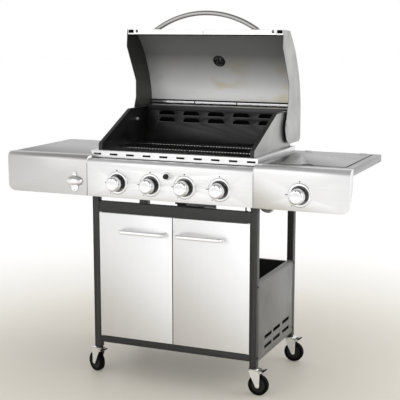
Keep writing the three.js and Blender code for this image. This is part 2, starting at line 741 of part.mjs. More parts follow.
// A hood side plate fills the skin's outline, with a lobe round the hinge.
function hoodSideGeometry() {
  const LOBE = [414, 917];
  const LOBE_R = 60;
  const HINGE_HOLE_R = 5;
  const skin = hoodSkinPath().slice(1, -1);
  const outline = [
    ...skin,
    [315.4, 1213.4],
    [390, 1080],
    [389.3, 1016],
    [378, 991],
    ...arcPoints(LOBE, LOBE_R, 143, 270, 9),
  ];
  const hole = rodX(HINGE_HOLE_R, HOOD_SIDE_X - 5, HOOD_SIDE_X + 5, ...HOOD_HINGE, 10);
  return cut(alongX(outline, HOOD_SIDE_X, HOOD_SIDE_X + SHEET), hole);
}

// The handle: a bowed tube on two round feet.
function addHoodHandle() {
  const R = 9;
  const FOOT_R = 8;
  const FOOT_HEIGHT = 8;
  const END_TRIM = 0.97; // the tube's ends stop just short of the full arc
  const foot = HOOD_LIP[1] - 1.2;
  const bowR = (HOOD_HANDLE_HALF ** 2 + HOOD_HANDLE_RISE ** 2) / (2 * HOOD_HANDLE_RISE);
  const spread = THREE.MathUtils.radToDeg(Math.asin(HOOD_HANDLE_HALF / bowR));
  const centre = [0, foot + HOOD_HANDLE_RISE - bowR];
  const ends = arcPoints(centre, bowR, 90 + spread * END_TRIM, 90 - spread * END_TRIM, 20);
  const curve = new THREE.CatmullRomCurve3(ends.map(([x, z]) => new THREE.Vector3(x, HOOD_HANDLE_Y, z)));
  const feet = [-1, 1].map((side) => {
    const x = side * (HOOD_HANDLE_HALF - 3);
    return rodZ(FOOT_R, foot - 0.5, foot + FOOT_HEIGHT, x, HOOD_HANDLE_Y, 12);
  });
  const below = box([-300, 300], [300, 400], [foot - 50, foot + 0.4]);
  addPiece("hood_handle", cut(joined(tubeAlong(curve, R, 10, 24), ...feet), below), BRIGHT);
}

// The thermometer: a dial case outside the skin, a stem through it and a plate inside.
function addThermometer() {
  const { a, y, z } = thermometerPlace();
  const profile = [
    [0, -7],
    [24, -7],
    [24, -3],
    [7, -3],
    [7, 0.6],
    [31, 0.6],
    [33, 4],
    [31, 11],
    [0, 11],
  ];
  const mesh = addPiece("thermometer", turnedY(profile, 20), BRIGHT);
  mesh.rotation.x = a;
  mesh.position.set(0, y, z);
}

// ---------------------------------------------------------------- side burner
function addSideBurner() {
  const DRAIN_R = 22;
  const FINGER_R = 24; // the notch in the lid's front edge
  const THROAT_R = 12;
  const HEAD_BOTTOM = 752;
  const THROAT_Z = 748;
  const BAR_OFFSET = 45;
  const BAR_HALF = 3;
  const BAR_Z = [SIDE_PAN_TOP - 6, SIDE_PAN_TOP];
  const LID_BOTTOM = 820;
  const [x0, x1] = WELL_X;
  const [y0, y1] = WELL_Y;
  const inset = (t) => [[x0 + t, x1 - t], [y0 + t, y1 - t]];
  const tray = (t, z) => box(...inset(t), z);
  const band = (middle) => [middle - BAR_HALF, middle + BAR_HALF];

  const hole = rodZ(DRAIN_R, SIDE_PAN_BOTTOM - 6, SIDE_PAN_BOTTOM + 9, SIDE_KNOB_X, SIDE_BURNER_Y, 16);
  const block = tray(SHEET, [SIDE_PAN_BOTTOM, SIDE_PAN_TOP]);
  const hollow = tray(2 * SHEET, [SIDE_PAN_BOTTOM + SHEET, SIDE_PAN_TOP + 8]);
  addPiece("side_burner_pan", cut(block, hollow, hole), BLACK_ENAMEL);

  const head = turnedY([[0, 0], [16, 0], [16, 26], [38, 30], [40, 36], [38, 44], [0, 46]], 20);
  const standing = head.rotateX(Math.PI / 2).translate(SIDE_KNOB_X, SIDE_BURNER_Y, HEAD_BOTTOM);
  const throat = rodY(THROAT_R, WELL_Y[0] - 1, SIDE_BURNER_Y + THROAT_R, SIDE_KNOB_X, THROAT_Z);
  addPiece("side_burner", joined(standing, throat), CAST_BLACK);

  const bars = [-BAR_OFFSET, BAR_OFFSET].flatMap((offset) => [
    box([x0 + 5, x1 - 5], band(SIDE_BURNER_Y + offset), BAR_Z),
    box(band(SIDE_KNOB_X + offset), [y0 + 5, y1 - 5], BAR_Z),
  ]);
  addPiece("side_burner_grate", joined(...bars), CAST_BLACK);

  const lid = cut(
    tray(SHEET, [LID_BOTTOM, SHELF_TOP + SHEET]),
    tray(2 * SHEET, [LID_BOTTOM - 5, SHELF_TOP]),
    rodZ(FINGER_R, LID_BOTTOM - 20, SHELF_TOP + 20, (x0 + x1) / 2, y0 - 6, 20),
  );
  addPiece("side_burner_lid", lid, BRUSHED);
}

// ---------------------------------------------------------------- controls
// A knob: a round cap on a wider skirt, hollow behind.
function addKnob(name, x) {
  const profile = [
    [0, -45],
    [22, -45],
    [26, -41],
    [26.5, -20],
    [29, -16],
    [29, -3],
    [27, -3],
    [27, -15],
    [24, -20],
    [23.5, -40],
    [0, -42],
  ];
  addPiece(name, turnedY(profile, 20), BRIGHT).position.set(x, 0, KNOB_Z);
}

function addControls() {
  KNOB_X.forEach((x, i) => addKnob("burner_knob_" + (i + 1), x));
  addKnob("side_burner_knob", SIDE_KNOB_X);
  const button = [[0, -20], [7, -20], [8.5, -18], [8.5, -6], [5, -6], [5, 12], [0, 12]];
  addPiece("igniter_button", turnedY(button, 16), BLACK_PLASTIC).position.set(0, 0, IGNITER_Z);
}

// A cast bottle opener: a bowl that bulges from the fascia, with a mouth under its lower edge.
function addBottleOpener() {
  const X = -370;
  const Z = 732;
  const BOWL = [35, 24, 21]; // half its width, how far it bulges, half its height
  const NECK_HALF = 9;
  const NECK_DEPTH = 6;
  const TAIL_HALF = 14;
  const TAIL_DEPTH = 5;
  const MOUTH_HALF = 15;
  const neck = alongY(roundedRect([X - NECK_HALF, X + NECK_HALF], [Z + 8, Z + 38], 8), -NECK_DEPTH, -GAP);
  const tail = alongY(roundedRect([X - TAIL_HALF, X + TAIL_HALF], [Z - 37, Z], 12), -TAIL_DEPTH, -GAP);
  const ball = new THREE.SphereGeometry(1, 20, 12).scale(...BOWL).translate(X, -GAP, Z + 2);
  const front = box([X - 60, X + 60], [-60, -GAP], [Z - 60, Z + 60]);
  const mouth = box([X - MOUTH_HALF, X + MOUTH_HALF], [-17, -TAIL_DEPTH], [Z - 40, Z - 2]);
  addPiece("bottle_opener", cut(joined(common(ball, front), neck, tail), mouth), BRIGHT);
}

// ---------------------------------------------------------------- castors
// A fork: a round swivel head, a flat crown, two tapering cheeks and the axle between them.
// A lug on each cheek holds the brake pedal's pin, on the side given.
function forkGeometry(pedalSide) {
  const HEAD_R = 19;
  const CROWN = [-14, 27];
  const CHEEK_Y = [13.6, 15.6];
  const AXLE_R = 4;
  const BOSS_R = 7.5;
  const LUG_END = pedalSide > 0 ? 34.5 : -21.5;
  const lugStart = pedalSide > 0 ? CROWN[1] - 4 : CROWN[0] + 4;
  const lugX = [Math.min(lugStart, LUG_END), Math.max(lugStart, LUG_END)];
  const head = rodZ(HEAD_R, CROWN_Z[0], POST_BOTTOM - 3, 0, 0, 20);
  const crown = box(CROWN, [-CHEEK_Y[1], CHEEK_Y[1]], CROWN_Z);
  const outline = [
    [CROWN[0], CROWN_Z[1] - 1],
    ...arcPoints([CASTOR_TRAIL, AXLE_Z], BOSS_R, 200, 350, 6),
    [CROWN[1], CROWN_Z[1] - 1],
  ];
  const sides = [[-CHEEK_Y[1], -CHEEK_Y[0]], CHEEK_Y];
  const cheeks = sides.map(([a, b]) => alongY(outline, a, b));
  const lugs = sides.map((y) => box(lugX, y, LUG_Z));
  const axle = rodY(AXLE_R, -CHEEK_Y[1] - 1.5, CHEEK_Y[1] + 1.5, CASTOR_TRAIL, AXLE_Z, 10);
  return joined(head, crown, ...cheeks, ...lugs, axle);
}

// A wheel: a tyre and web turned round its bore, with a flat of its rim on the floor.
function wheelGeometry() {
  const BORE = 4.4;
  const WEB = 8; // half the thickness of the web between hub and tyre
  const half = WHEEL_WIDTH / 2;
  const ring = [
    [BORE, -half],
    [11, -half],
    [13, -WEB],
    [27, -WEB],
    [29, -half],
    [WHEEL_R - 1.5, -half],
    [WHEEL_R, -half + 3],
    [WHEEL_R, half - 3],
    [WHEEL_R - 1.5, half],
    [29, half],
    [27, WEB],
    [13, WEB],
    [11, half],
    [BORE, half],
    [BORE, -half],
  ];
  return turnedY(ring, WHEEL_SIDES).rotateY(Math.PI / WHEEL_SIDES);
}

// A brake pedal: a barrel between the cheeks and a tab that is pressed down.
function pedalGeometry() {
  const BARREL_R = 3;
  const BARREL_HALF = 13.2;
  const barrel = rodY(BARREL_R, -BARREL_HALF, BARREL_HALF, ...PEDAL_PIN, 10);
  const outline = [[30, 86], [33, 85], [47, 93.5], [46, 96.5], [31, 90]];
  const tab = alongY(outline, -PEDAL_HALF, PEDAL_HALF);
  return joined(barrel, tab);
}

function addCastors() {
  const wheel = wheelGeometry();
  const pedal = pedalGeometry();
  for (const { name, x, y, turn, pedalSide } of CASTORS) {
    const castor = new THREE.Group();
    castor.position.set(x, y, 0);
    castor.rotation.z = THREE.MathUtils.degToRad(turn);
    grill.add(castor);
    addPiece(name + "_fork", forkGeometry(pedalSide), ZINC, castor);
    addPiece(name + "_wheel", wheel, RUBBER, castor).position.set(CASTOR_TRAIL, 0, AXLE_Z);
    const lever = addPiece(name + "_brake_pedal", pedal, BLACK_PLASTIC, castor);
    if (pedalSide < 0) {
      lever.rotation.z = Math.PI;
      lever.position.x = PEDAL_SHIFT;
    }
  }
}

// ---------------------------------------------------------------- assembly
addPosts();
addTopRail();
addPair("side_panel", sidePanelGeometry(), GREY_PAINT);
addBackPanel();
addBottomShelf();
addPair("door", doorGeometry(), BRUSHED);
addPair("door_handle", doorHandleGeometry(), BRIGHT);
addControlPanel();
addFrontsAndShelves();
addRim();
addPair("firebox_wall", fireboxWallGeometry(), BLACK_ENAMEL);
addRearWall();
addDripPan();
addGreaseTray();
KNOB_X.forEach((x, i) => addPiece("burner_" + (i + 1), burnerGeometry(x), BRUSHED));
addManifold();
addHeatShield();
addPair("cooking_grate", grateGeometry(), CAST_BLACK);
addHoodShell();
addPair("hood_side", hoodSideGeometry(), HOOD_SILVER);
addHoodHandle();
addThermometer();
addSideBurner();
addControls();
addBottleOpener();
addCastors();

export default grill;
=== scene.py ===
# %% [markdown]
# # A gas barbecue grill
#
# The grill stands on a castor trolley with its hood thrown open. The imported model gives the
# frame: where every panel, hinge and wheel sits. This lesson dresses that frame, piece by piece,
# with finer shapes and real finishes. Every length is in metres, in the frame's own axes: +X is
# the grill's right, -Y is its front, +Z is up.

# %% Load the frame
import json
import math

import bmesh
import bpy
from mathutils import Matrix, Vector

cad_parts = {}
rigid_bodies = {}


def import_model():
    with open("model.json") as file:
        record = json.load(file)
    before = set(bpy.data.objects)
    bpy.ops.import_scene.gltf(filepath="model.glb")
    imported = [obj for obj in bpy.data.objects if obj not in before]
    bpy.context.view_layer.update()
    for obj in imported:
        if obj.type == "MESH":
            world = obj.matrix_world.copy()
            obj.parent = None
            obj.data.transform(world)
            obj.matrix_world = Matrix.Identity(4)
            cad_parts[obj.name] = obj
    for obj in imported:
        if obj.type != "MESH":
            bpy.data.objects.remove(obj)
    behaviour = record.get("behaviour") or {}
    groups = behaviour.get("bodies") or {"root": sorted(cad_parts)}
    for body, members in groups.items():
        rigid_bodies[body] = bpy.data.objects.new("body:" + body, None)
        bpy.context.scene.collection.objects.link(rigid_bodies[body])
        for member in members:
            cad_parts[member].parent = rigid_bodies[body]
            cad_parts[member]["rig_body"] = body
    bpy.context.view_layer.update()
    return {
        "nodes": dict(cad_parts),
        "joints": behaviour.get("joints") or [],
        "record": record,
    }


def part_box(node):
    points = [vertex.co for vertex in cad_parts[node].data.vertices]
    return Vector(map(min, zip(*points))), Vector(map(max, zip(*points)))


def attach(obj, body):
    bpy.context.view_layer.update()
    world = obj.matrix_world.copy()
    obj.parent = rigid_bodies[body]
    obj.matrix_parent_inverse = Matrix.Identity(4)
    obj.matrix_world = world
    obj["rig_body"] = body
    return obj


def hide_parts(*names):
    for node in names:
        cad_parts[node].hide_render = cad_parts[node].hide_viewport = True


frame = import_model()
MM = 0.001
JOINTS = {joint["name"]: joint for joint in frame["joints"]}

# %% [markdown]
# ## Places
#
# A maker measures a grill from the front of its control panel, so `at` does the same: x from the
# middle, y back from that panel's face and z from the floor, all in millimetres.

# %% Measure from the control panel
PANEL_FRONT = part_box("control_panel")[0].y


def at(x, y, z):
    """A point x from the middle, y behind the control panel's face and z above the floor, in mm."""
    return Vector((x * MM, PANEL_FRONT + y * MM, z * MM))


def box_mm(node):
    """A node's lowest and highest corner, in the same millimetres as at()."""
    low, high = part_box(node)
    return [[v.x / MM, (v.y - PANEL_FRONT) / MM, v.z / MM] for v in (low, high)]


print("control panel front at y =", round(PANEL_FRONT, 4))

# %% [markdown]
# ## The camera and the light
#
# The camera comes first, so that each finish can be judged from the right place. The studio is a
# white room without edges. Its walls are bright and its ceiling is dark, so that steel and chrome
# have something to reflect: a bright side and a dark edge. One large soft lamp stands in front and
# one beyond the right side.

# %% Camera
CAMERA_PLACE = (1.498, -3.450, 1.3014)
CAMERA_DOWN = 9.84
CAMERA_TURN = 23.18
LENS = 91.97
SENSOR_WIDTH = 36

camera_data = bpy.data.cameras.new("studio_camera")
camera_data.lens = LENS
camera_data.sensor_width = SENSOR_WIDTH
camera = bpy.data.objects.new("studio_camera", camera_data)
camera.location = CAMERA_PLACE
camera.rotation_euler = (math.radians(90 - CAMERA_DOWN), 0, math.radians(CAMERA_TURN))
bpy.context.scene.collection.objects.link(camera)
bpy.context.scene.camera = camera
bpy.context.scene.view_settings.view_transform = "Standard"
print("camera at", CAMERA_PLACE, "lens", LENS)

# %% Sky and lamps
WALL_STRENGTH = 1.0
CEILING_STRENGTH = 0.42
CEILING_FROM, CEILING_TO = 0.22, 0.75  # the sine of the height where the ceiling fades in
FRONT_SOFTBOX = {"place": (-1.2, -4.2, 2.6), "aim": (0, 0, 0.5), "size": 4.2, "watts": 38}
SIDE_SOFTBOX = {"place": (3.8, 0.6, 1.9), "aim": (0, 0, 0.7), "size": 3.0, "watts": 55}

world = bpy.data.worlds.new("studio")
world.use_nodes = True
sky = world.node_tree
direction = sky.nodes.new("ShaderNodeTexCoord")
split = sky.nodes.new("ShaderNodeSeparateXYZ")
fade = sky.nodes.new("ShaderNodeMapRange")
fade.interpolation_type = "SMOOTHSTEP"
ceiling_fade = (CEILING_FROM, CEILING_TO, WALL_STRENGTH, CEILING_STRENGTH)
for socket, value in zip(fade.inputs[1:5], ceiling_fade):
    socket.default_value = value
sky.links.new(direction.outputs["Generated"], split.inputs[0])
sky.links.new(split.outputs["Z"], fade.inputs["Value"])
sky.links.new(fade.outputs[0], sky.nodes["Background"].inputs["Strength"])
sky.nodes["Background"].inputs["Color"].default_value = (1.0, 1.0, 1.0, 1)
bpy.context.scene.world = world


def softbox(name, place, aim, size, watts):
    """A large square lamp at place, turned to face aim."""
    data = bpy.data.lights.new(name, "AREA")
    data.size = size
    data.energy = watts
    lamp = bpy.data.objects.new(name, data)
    lamp.location = place
    lamp.rotation_mode = "QUATERNION"
    lamp.rotation_quaternion = (Vector(aim) - Vector(place)).to_track_quat("-Z", "Y")
    bpy.context.scene.collection.objects.link(lamp)
    return lamp


softbox("front_softbox", **FRONT_SOFTBOX)
softbox("side_softbox", **SIDE_SOFTBOX)
print("walls", WALL_STRENGTH, "ceiling", CEILING_STRENGTH)

# %% [markdown]
# ## Mixing a finish
#
# Each finish is a Principled shader with detail from noise on Object coordinates, so a pattern
# stays on its piece when a door or the hood moves. `Recipe` keeps that short: it adds nodes, and
# what is the same all over stays on the shader's own sockets.

# %% A recipe for a material
def add_node(tree, kind, links=None, values=None, settings=None):
    """Adds a node to a tree: its settings, its fixed inputs, and the sockets linked to it."""
    node = tree.nodes.new(kind)
    for key, value in (settings or {}).items():
        setattr(node, key, value)
    for key, value in (values or {}).items():
        node.inputs[key].default_value = value
    for key, socket in (links or {}).items():
        tree.links.new(socket, node.inputs[key])
    return node


class Recipe:
    """A material while it is mixed: its tree, its shader and the point being shaded."""

    def __init__(self, name, colour, metallic, roughness):
        self.material = bpy.data.materials.new(name)
        self.material.use_nodes = True
        self.tree = self.material.node_tree
        self.shader = self.tree.nodes["Principled BSDF"]
        self.colour = colour
        self.put("Base Color", (*colour, 1))
        self.put("Metallic", metallic)
        self.put("Roughness", roughness)
        self.place = self.add("ShaderNodeTexCoord").outputs["Object"]

    def put(self, socket, value):
        self.shader.inputs[socket].default_value = value

    def add(self, kind, links=None, values=None, **settings):
        return add_node(self.tree, kind, links, values, settings)

    def noise(self, per_metre, detail=3.0):
        """Noise with that many features to the metre along x, y and z."""
        stretched = self.add("ShaderNodeMapping", {"Vector": self.place}, {"Scale": per_metre})
        made = self.add(
            "ShaderNodeTexNoise", {"Vector": stretched.outputs[0]}, {"Scale": 1.0, "Detail": detail}
        )
        return made.outputs[0]

    def spread(self, value, low, high, start=0.3, end=0.7):
        """The value from start to end, carried onto low to high."""
        made = self.add(
            "ShaderNodeMapRange",
            {"Value": value},
            {"From Min": start, "From Max": end, "To Min": low, "To Max": high},
        )
        return made.outputs[0]

    def mix(self, share, first, second):
        """The first colour where share is 0, the second where it is 1; either may be a socket."""
        made = self.add("ShaderNodeMix", {"Factor": share}, data_type="RGBA")
        for slot, colour in ((6, first), (7, second)):
            if isinstance(colour, tuple):
                made.inputs[slot].default_value = (*colour, 1)
            else:
                self.tree.links.new(colour, made.inputs[slot])
        return made.outputs[2]

    def tone(self, value, amount):
        """The finish's colour, varied by that share either way."""
        dark = tuple(c * (1 - amount) for c in self.colour)
        light = tuple(min(1.0, c * (1 + amount)) for c in self.colour)
        return self.mix(value, dark, light)

    def drive(self, socket, value):
        self.tree.links.new(value, self.shader.inputs[socket])

    def bump(self, height, depth_mm, strength=1.0):
        made = self.add(
            "ShaderNodeBump", {"Height": height}, {"Distance": depth_mm * MM, "Strength": strength}
        )
        self.drive("Normal", made.outputs[0])


print("recipes ready")

# %% [markdown]
# ### Brushed stainless steel
#
# The fronts and shelves are rolled sheet with a ground grain. The grain is noise drawn out along
# one axis: hair lines about a millimetre apart, and broad streaks that change the tone a little.
# The same two fields move the roughness and a very shallow bump. Fingers and wiping leave soft
# patches where the steel is a little duller.

# %% Brushed steel
GRAIN_ALONG_X = (5, 900, 900)
GRAIN_ALONG_Z = (900, 900, 5)


def brushed_steel(name, colour, roughness, grain, tone=0.025, metallic=1.0):
    recipe = Recipe(name, colour, metallic, roughness)
    hair = recipe.noise(grain, 4)
    streak = recipe.noise(tuple(g / 6 if g > 100 else g / 2 for g in grain), 2)
    wiped = recipe.noise((4, 4, 4), 2)
    blend = recipe.add("ShaderNodeMix", {"A": hair, "B": streak}, {"Factor": 0.5})
    recipe.drive("Base Color", recipe.tone(recipe.spread(blend.outputs[0], 0, 1), tone))
    wear = recipe.add("ShaderNodeMix", {"A": blend.outputs[0], "B": wiped}, {"Factor": 0.55})
    recipe.drive("Roughness", recipe.spread(wear.outputs[0], roughness - 0.03, roughness + 0.04))
    recipe.bump(hair, 0.004, 0.35)
    return recipe.material


STEEL = brushed_steel("brushed_steel_panel", (0.80, 0.80, 0.80), 0.36, GRAIN_ALONG_X)
DOOR_STEEL = brushed_steel("brushed_steel_door", (0.79, 0.79, 0.795), 0.36, GRAIN_ALONG_Z, tone=0.012)
HANDLE_STEEL = brushed_steel("satin_handle_steel", (0.95, 0.95, 0.95), 0.42, GRAIN_ALONG_X, tone=0.01)
# The left fascia is the panel's steel with a darker colour: painted shade for the lesser light on that end.
SHADED_FASCIA_STEEL = brushed_steel("fascia_steel_painted_shade", (0.56, 0.555, 0.545), 0.34, GRAIN_ALONG_X)
# The shelves and the side burner lid are the same steel with a much darker colour: painted shade for the dark
# reflections on their tops.
DARKENED_SHELF_STEEL = brushed_steel("shelf_steel_painted_reflection", (0.30, 0.30, 0.30), 0.28, GRAIN_ALONG_X)
print("brushed steels:", len(bpy.data.materials))

# %% [markdown]
# The inside of the hood is the same steel after use, and heat has left a few straw-coloured patches
# low down. Its colour darkens towards the top: painted shade, standing for the darker reflection there.

# %% The heated liner
SHADE_FADE_FROM, SHADE_FADE_TO = 1.04, 1.18


def heated_liner(name, unshaded, straw, painted_shade):
    recipe = Recipe(name, unshaded, 0.35, 0.34)
    hair = recipe.noise(GRAIN_ALONG_X, 4)
    height = recipe.add("ShaderNodeSeparateXYZ", {0: recipe.place}).outputs["Z"]
    patches = recipe.noise((7, 5, 12), 2)
    tinted = recipe.mix(recipe.spread(patches, 0, 0.8, 0.50, 0.66), unshaded, straw)
    # painted shade: the liner's colour darkens towards the top of the hood
    shade_share = recipe.spread(height, 0, 1, SHADE_FADE_FROM, SHADE_FADE_TO)
    recipe.drive("Base Color", recipe.mix(shade_share, tinted, painted_shade))
    recipe.drive("Roughness", recipe.spread(hair, 0.30, 0.40))
    recipe.bump(hair, 0.004, 0.35)
    return recipe.material


LINER_STEEL = heated_liner(
    "heated_liner_steel", unshaded=(0.98, 0.98, 0.97), straw=(0.88, 0.81, 0.58), painted_shade=(0.25, 0.25, 0.245)
)
print("liner steel mixed")

# %% [markdown]
# ### Chrome and zinc
#
# Chrome is bright and smooth, with faint smears. Zinc plate on the castors is duller, with the
# small crystals that give it a mottled look.

# %% Plated metals
def chrome(name, colour, roughness):
    recipe = Recipe(name, colour, 1.0, roughness)
    smear = recipe.noise((30, 30, 30), 3)
    recipe.drive("Roughness", recipe.spread(smear, roughness * 0.6, roughness * 1.6))
    recipe.drive("Base Color", recipe.tone(smear, 0.03))
    recipe.bump(recipe.noise((160, 160, 160), 2), 0.01, 0.10)
    return recipe.material


def zinc_plate(name):
    recipe = Recipe(name, (0.86, 0.86, 0.85), 1.0, 0.30)
    cells = recipe.add("ShaderNodeTexVoronoi", {"Vector": recipe.place}, {"Scale": 420.0})
    recipe.drive("Base Color", recipe.tone(cells.outputs["Distance"], 0.10))
    recipe.drive("Roughness", recipe.spread(cells.outputs["Distance"], 0.22, 0.38, 0, 1))
    recipe.bump(recipe.noise((500, 500, 500), 2), 0.03, 0.3)
    return recipe.material


CHROME = chrome("chrome_trim", (0.84, 0.84, 0.84), 0.08)
POLISHED = chrome("polished_steel", (0.78, 0.78, 0.78), 0.18)
SATIN_TUBE = chrome("satin_tube", (0.38, 0.375, 0.37), 0.20)
ZINC = zinc_plate("zinc_plate")
print("chrome, polished steel and zinc")

# %% [markdown]
# ### Paints and enamel
#
# The trolley is powder coated: a satin film with a fine orange-peel texture, a little lighter
# where it has been rubbed. The firebox is vitreous enamel, smoother and deeper, with pale flecks.

# %% Powder coat and enamel
def powder_coat(name, colour, roughness, peel_mm=0.12, metallic=0.0):
    recipe = Recipe(name, colour, metallic, roughness)
    peel = recipe.noise((420, 420, 420), 2)
    patch = recipe.noise((14, 14, 14), 4)
    recipe.drive("Base Color", recipe.tone(recipe.spread(patch, 0, 1), 0.14))
    recipe.drive("Roughness", recipe.spread(patch, roughness - 0.06, roughness + 0.06))
    recipe.bump(peel, peel_mm, 0.4)
    return recipe.material


def vitreous_enamel(name, colour, fleck):
    recipe = Recipe(name, colour, 0.0, 0.32)
    cells = recipe.add("ShaderNodeTexVoronoi", {"Vector": recipe.place}, {"Scale": 320.0})
    specks = recipe.spread(cells.outputs["Distance"], 1, 0, 0.10, 0.16)
    soot = recipe.noise((9, 9, 9), 5)
    mottled = recipe.tone(recipe.spread(soot, 0, 1), 0.30)
    recipe.drive("Base Color", recipe.mix(specks, mottled, fleck))
    recipe.drive("Roughness", recipe.spread(soot, 0.26, 0.52))
    recipe.bump(recipe.noise((90, 90, 90), 3), 0.25, 0.25)
    return recipe.material


CHARCOAL = powder_coat("charcoal_powder_coat", (0.0135, 0.0135, 0.013), 0.42)
GREY_COAT = powder_coat("grey_powder_coat", (0.135, 0.135, 0.130), 0.38)
HOOD_COAT = powder_coat("silver_hood_coat", (0.40, 0.40, 0.395), 0.36, 0.08, 0.75)
HOOD_DARK = powder_coat("dark_hood_lining", (0.022, 0.022, 0.021), 0.42)
ENAMEL = vitreous_enamel("black_enamel", (0.010, 0.011, 0.010), (0.05, 0.05, 0.05))
print("powder coats and enamel")

# %% [markdown]
# ### Cast iron, brass, rubber and plastic
#
# The grates and the side burner are cast or coated bars with a rough skin. The valves are brass.
# The tyres are hard rubber, with dust in the grain, and the pedals and buttons are moulded.

# %% The other finishes
def rough_skin(name, colour, roughness, grain, depth_mm, metallic=0.0, tone=0.2, shine=0.5):
    recipe = Recipe(name, colour, metallic, roughness)
    recipe.put("Specular IOR Level", shine)
    skin = recipe.noise((grain, grain, grain), 5)
    recipe.drive("Base Color", recipe.tone(recipe.spread(skin, 0, 1), tone))
    recipe.drive("Roughness", recipe.spread(skin, roughness - 0.08, roughness + 0.1))
    recipe.bump(skin, depth_mm, 0.5)
    return recipe.material


CAST = rough_skin("cast_iron_black", (0.016, 0.016, 0.015), 0.42, 380, 0.25)
BRASS = rough_skin("valve_brass", (0.60, 0.44, 0.19), 0.33, 120, 0.05, 1.0, 0.12)
RUBBER = rough_skin("tyre_rubber", (0.003, 0.003, 0.003), 0.55, 260, 0.12, 0.0, 0.35, 0.05)
PLASTIC = rough_skin("black_plastic", (0.006, 0.006, 0.006), 0.38, 500, 0.05, 0.0, 0.15, 0.3)
GRATE_ROD = rough_skin("glossy_grate_enamel", (0.008, 0.008, 0.008), 0.20, 300, 0.02, 0.0, 0.2, 0.22)
# near-black matte for the louvre scoops: painted shade inside the slots
LOUVRE_SHADE_BLACK = rough_skin("louvre_painted_shade", (0.003, 0.003, 0.003), 0.80, 240, 0.05, 0.0, 0.3, 0.05)
INK = rough_skin("black_print", (0.012, 0.012, 0.012), 0.55, 300, 0.02)
STAINED = brushed_steel("heat_stained_steel", (0.34, 0.31, 0.27), 0.42, GRAIN_ALONG_X, 0.2)
DIAL_WHITE = rough_skin("dial_white", (0.78, 0.78, 0.75), 0.35, 200, 0.02, 0.0, 0.03)
print("materials:", len(bpy.data.materials))

# %% [markdown]
# ## Making a piece
#
# Most pieces here are one of four things: a copy of a CAD node with its edges rounded, a turned
# body, a rod along a path, or an outline given a thickness. The helpers below add those shapes to
# one bmesh, and `piece` turns it into an object that rides on a body.

# %% Helpers for shapes
FLAT_ANGLE = math.radians(28)
CAD_MERGE = 2e-6
FRONT, BACK = Vector((0, -1, 0)), Vector((0, 1, 0))
LEFT, RIGHT = Vector((-1, 0, 0)), Vector((1, 0, 0))
DOWN, UP = Vector((0, 0, -1)), Vector((0, 0, 1))


def piece(name, bm, body, finish, *nodes, slot=None, rounded=0.0, segments=2):
    """Turns a bmesh into a finished piece that rides on body and stands for those CAD nodes."""
    bmesh.ops.remove_doubles(bm, verts=bm.verts, dist=1e-6)
    bmesh.ops.recalc_face_normals(bm, faces=bm.faces)
    mesh = bpy.data.meshes.new(name)
    bm.to_mesh(mesh)
    bm.free()
    made = bpy.data.objects.new(name, mesh)
    bpy.context.scene.collection.objects.link(made)
    mesh.materials.append(finish)
    if rounded:
        soften_edges(made, rounded, segments)
    made.data.polygons.foreach_set("use_smooth", [True] * len(made.data.polygons))
    if not rounded:
        made.data.set_sharp_from_angle(angle=FLAT_ANGLE)
    if nodes:
        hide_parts(*nodes)
        slot = slot or slot_of(nodes[0])
    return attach(made, body)


def slot_of(node):
    return next(s["material_slot"] for s in frame["record"]["subparts"] if s["node"] == node)


def baked(made):
    """Replaces an object's mesh by what its modifiers make of it, and removes them."""
    bpy.context.view_layer.update()
    depsgraph = bpy.context.evaluated_depsgraph_get()
    mesh = bpy.data.meshes.new_from_object(made.evaluated_get(depsgraph))
    mesh.name = made.name
    made.modifiers.clear()
    made.data = mesh


def soften_edges(made, width_mm, segments):
    """Rounds every sharp edge, as pressing and polishing do, and keeps the flats flat."""
    made.data.polygons.foreach_set("use_smooth", [True] * len(made.data.polygons))
    bevel = made.modifiers.new("rounding", "BEVEL")
    bevel.width = width_mm * MM
    bevel.segments = segments
    bevel.limit_method = "ANGLE"
    bevel.angle_limit = FLAT_ANGLE
    bevel.harden_normals = True
    baked(made)


def turned(bm, profile, matrix=None, steps=48):
    """Adds a body turned about its own Y axis from (radius, y) pairs in mm."""
    rings = []
    angles = [2 * math.pi * i / steps for i in range(steps)]
    for radius, y in profile:
        if radius < 1e-6:
            rings.append([bm.verts.new((0, y * MM, 0))])
            continue
        reach = radius * MM
        rings.append([bm.verts.new((reach * math.cos(a), y * MM, reach * math.sin(a))) for a in angles])
    for first, second in zip(rings, rings[1:]):
        for i in range(steps):
            j = (i + 1) % steps
            corners = [first[i % len(first)], first[j % len(first)]]
            corners += [second[j % len(second)], second[i % len(second)]]
            unique = list(dict.fromkeys(corners))
            if len(unique) > 2:
                bm.faces.new(unique)
    if matrix is not None:
        bmesh.ops.transform(bm, matrix=matrix, verts=[v for ring in rings for v in ring])


def swept(bm, points, radius, sides=16):
    """Adds a round rod along points (in metres)."""
    rings = []
    reach = radius * MM
    angles = [2 * math.pi * k / sides for k in range(sides)]
    for i, point in enumerate(points):
        along = (points[min(i + 1, len(points) - 1)] - points[max(i - 1, 0)]).normalized()
        side = along.cross(UP)
        if side.length < 0.05:
            side = along.cross(RIGHT)
        side.normalize()
        up = side.cross(along)
        spokes = [side * math.cos(a) * reach + up * math.sin(a) * reach for a in angles]
        rings.append([bm.verts.new(point + spoke) for spoke in spokes])
    for first, second in zip(rings, rings[1:]):
        for k in range(sides):
            bm.faces.new([first[k], first[(k + 1) % sides], second[(k + 1) % sides], second[k]])
    bm.faces.new(rings[0])
    bm.faces.new(rings[-1])


def plate(bm, corners, thickness):
    """Adds a plate: a flat outline (points in metres) pushed along the vector thickness."""
    near = [bm.verts.new(c) for c in corners]
    far = [bm.verts.new(Vector(c) + Vector(thickness)) for c in corners]
    bm.faces.new(near)
    bm.faces.new(far)
    count = len(near)
    for i in range(count):
        j = (i + 1) % count
        bm.faces.new([near[i], near[j], far[j], far[i]])


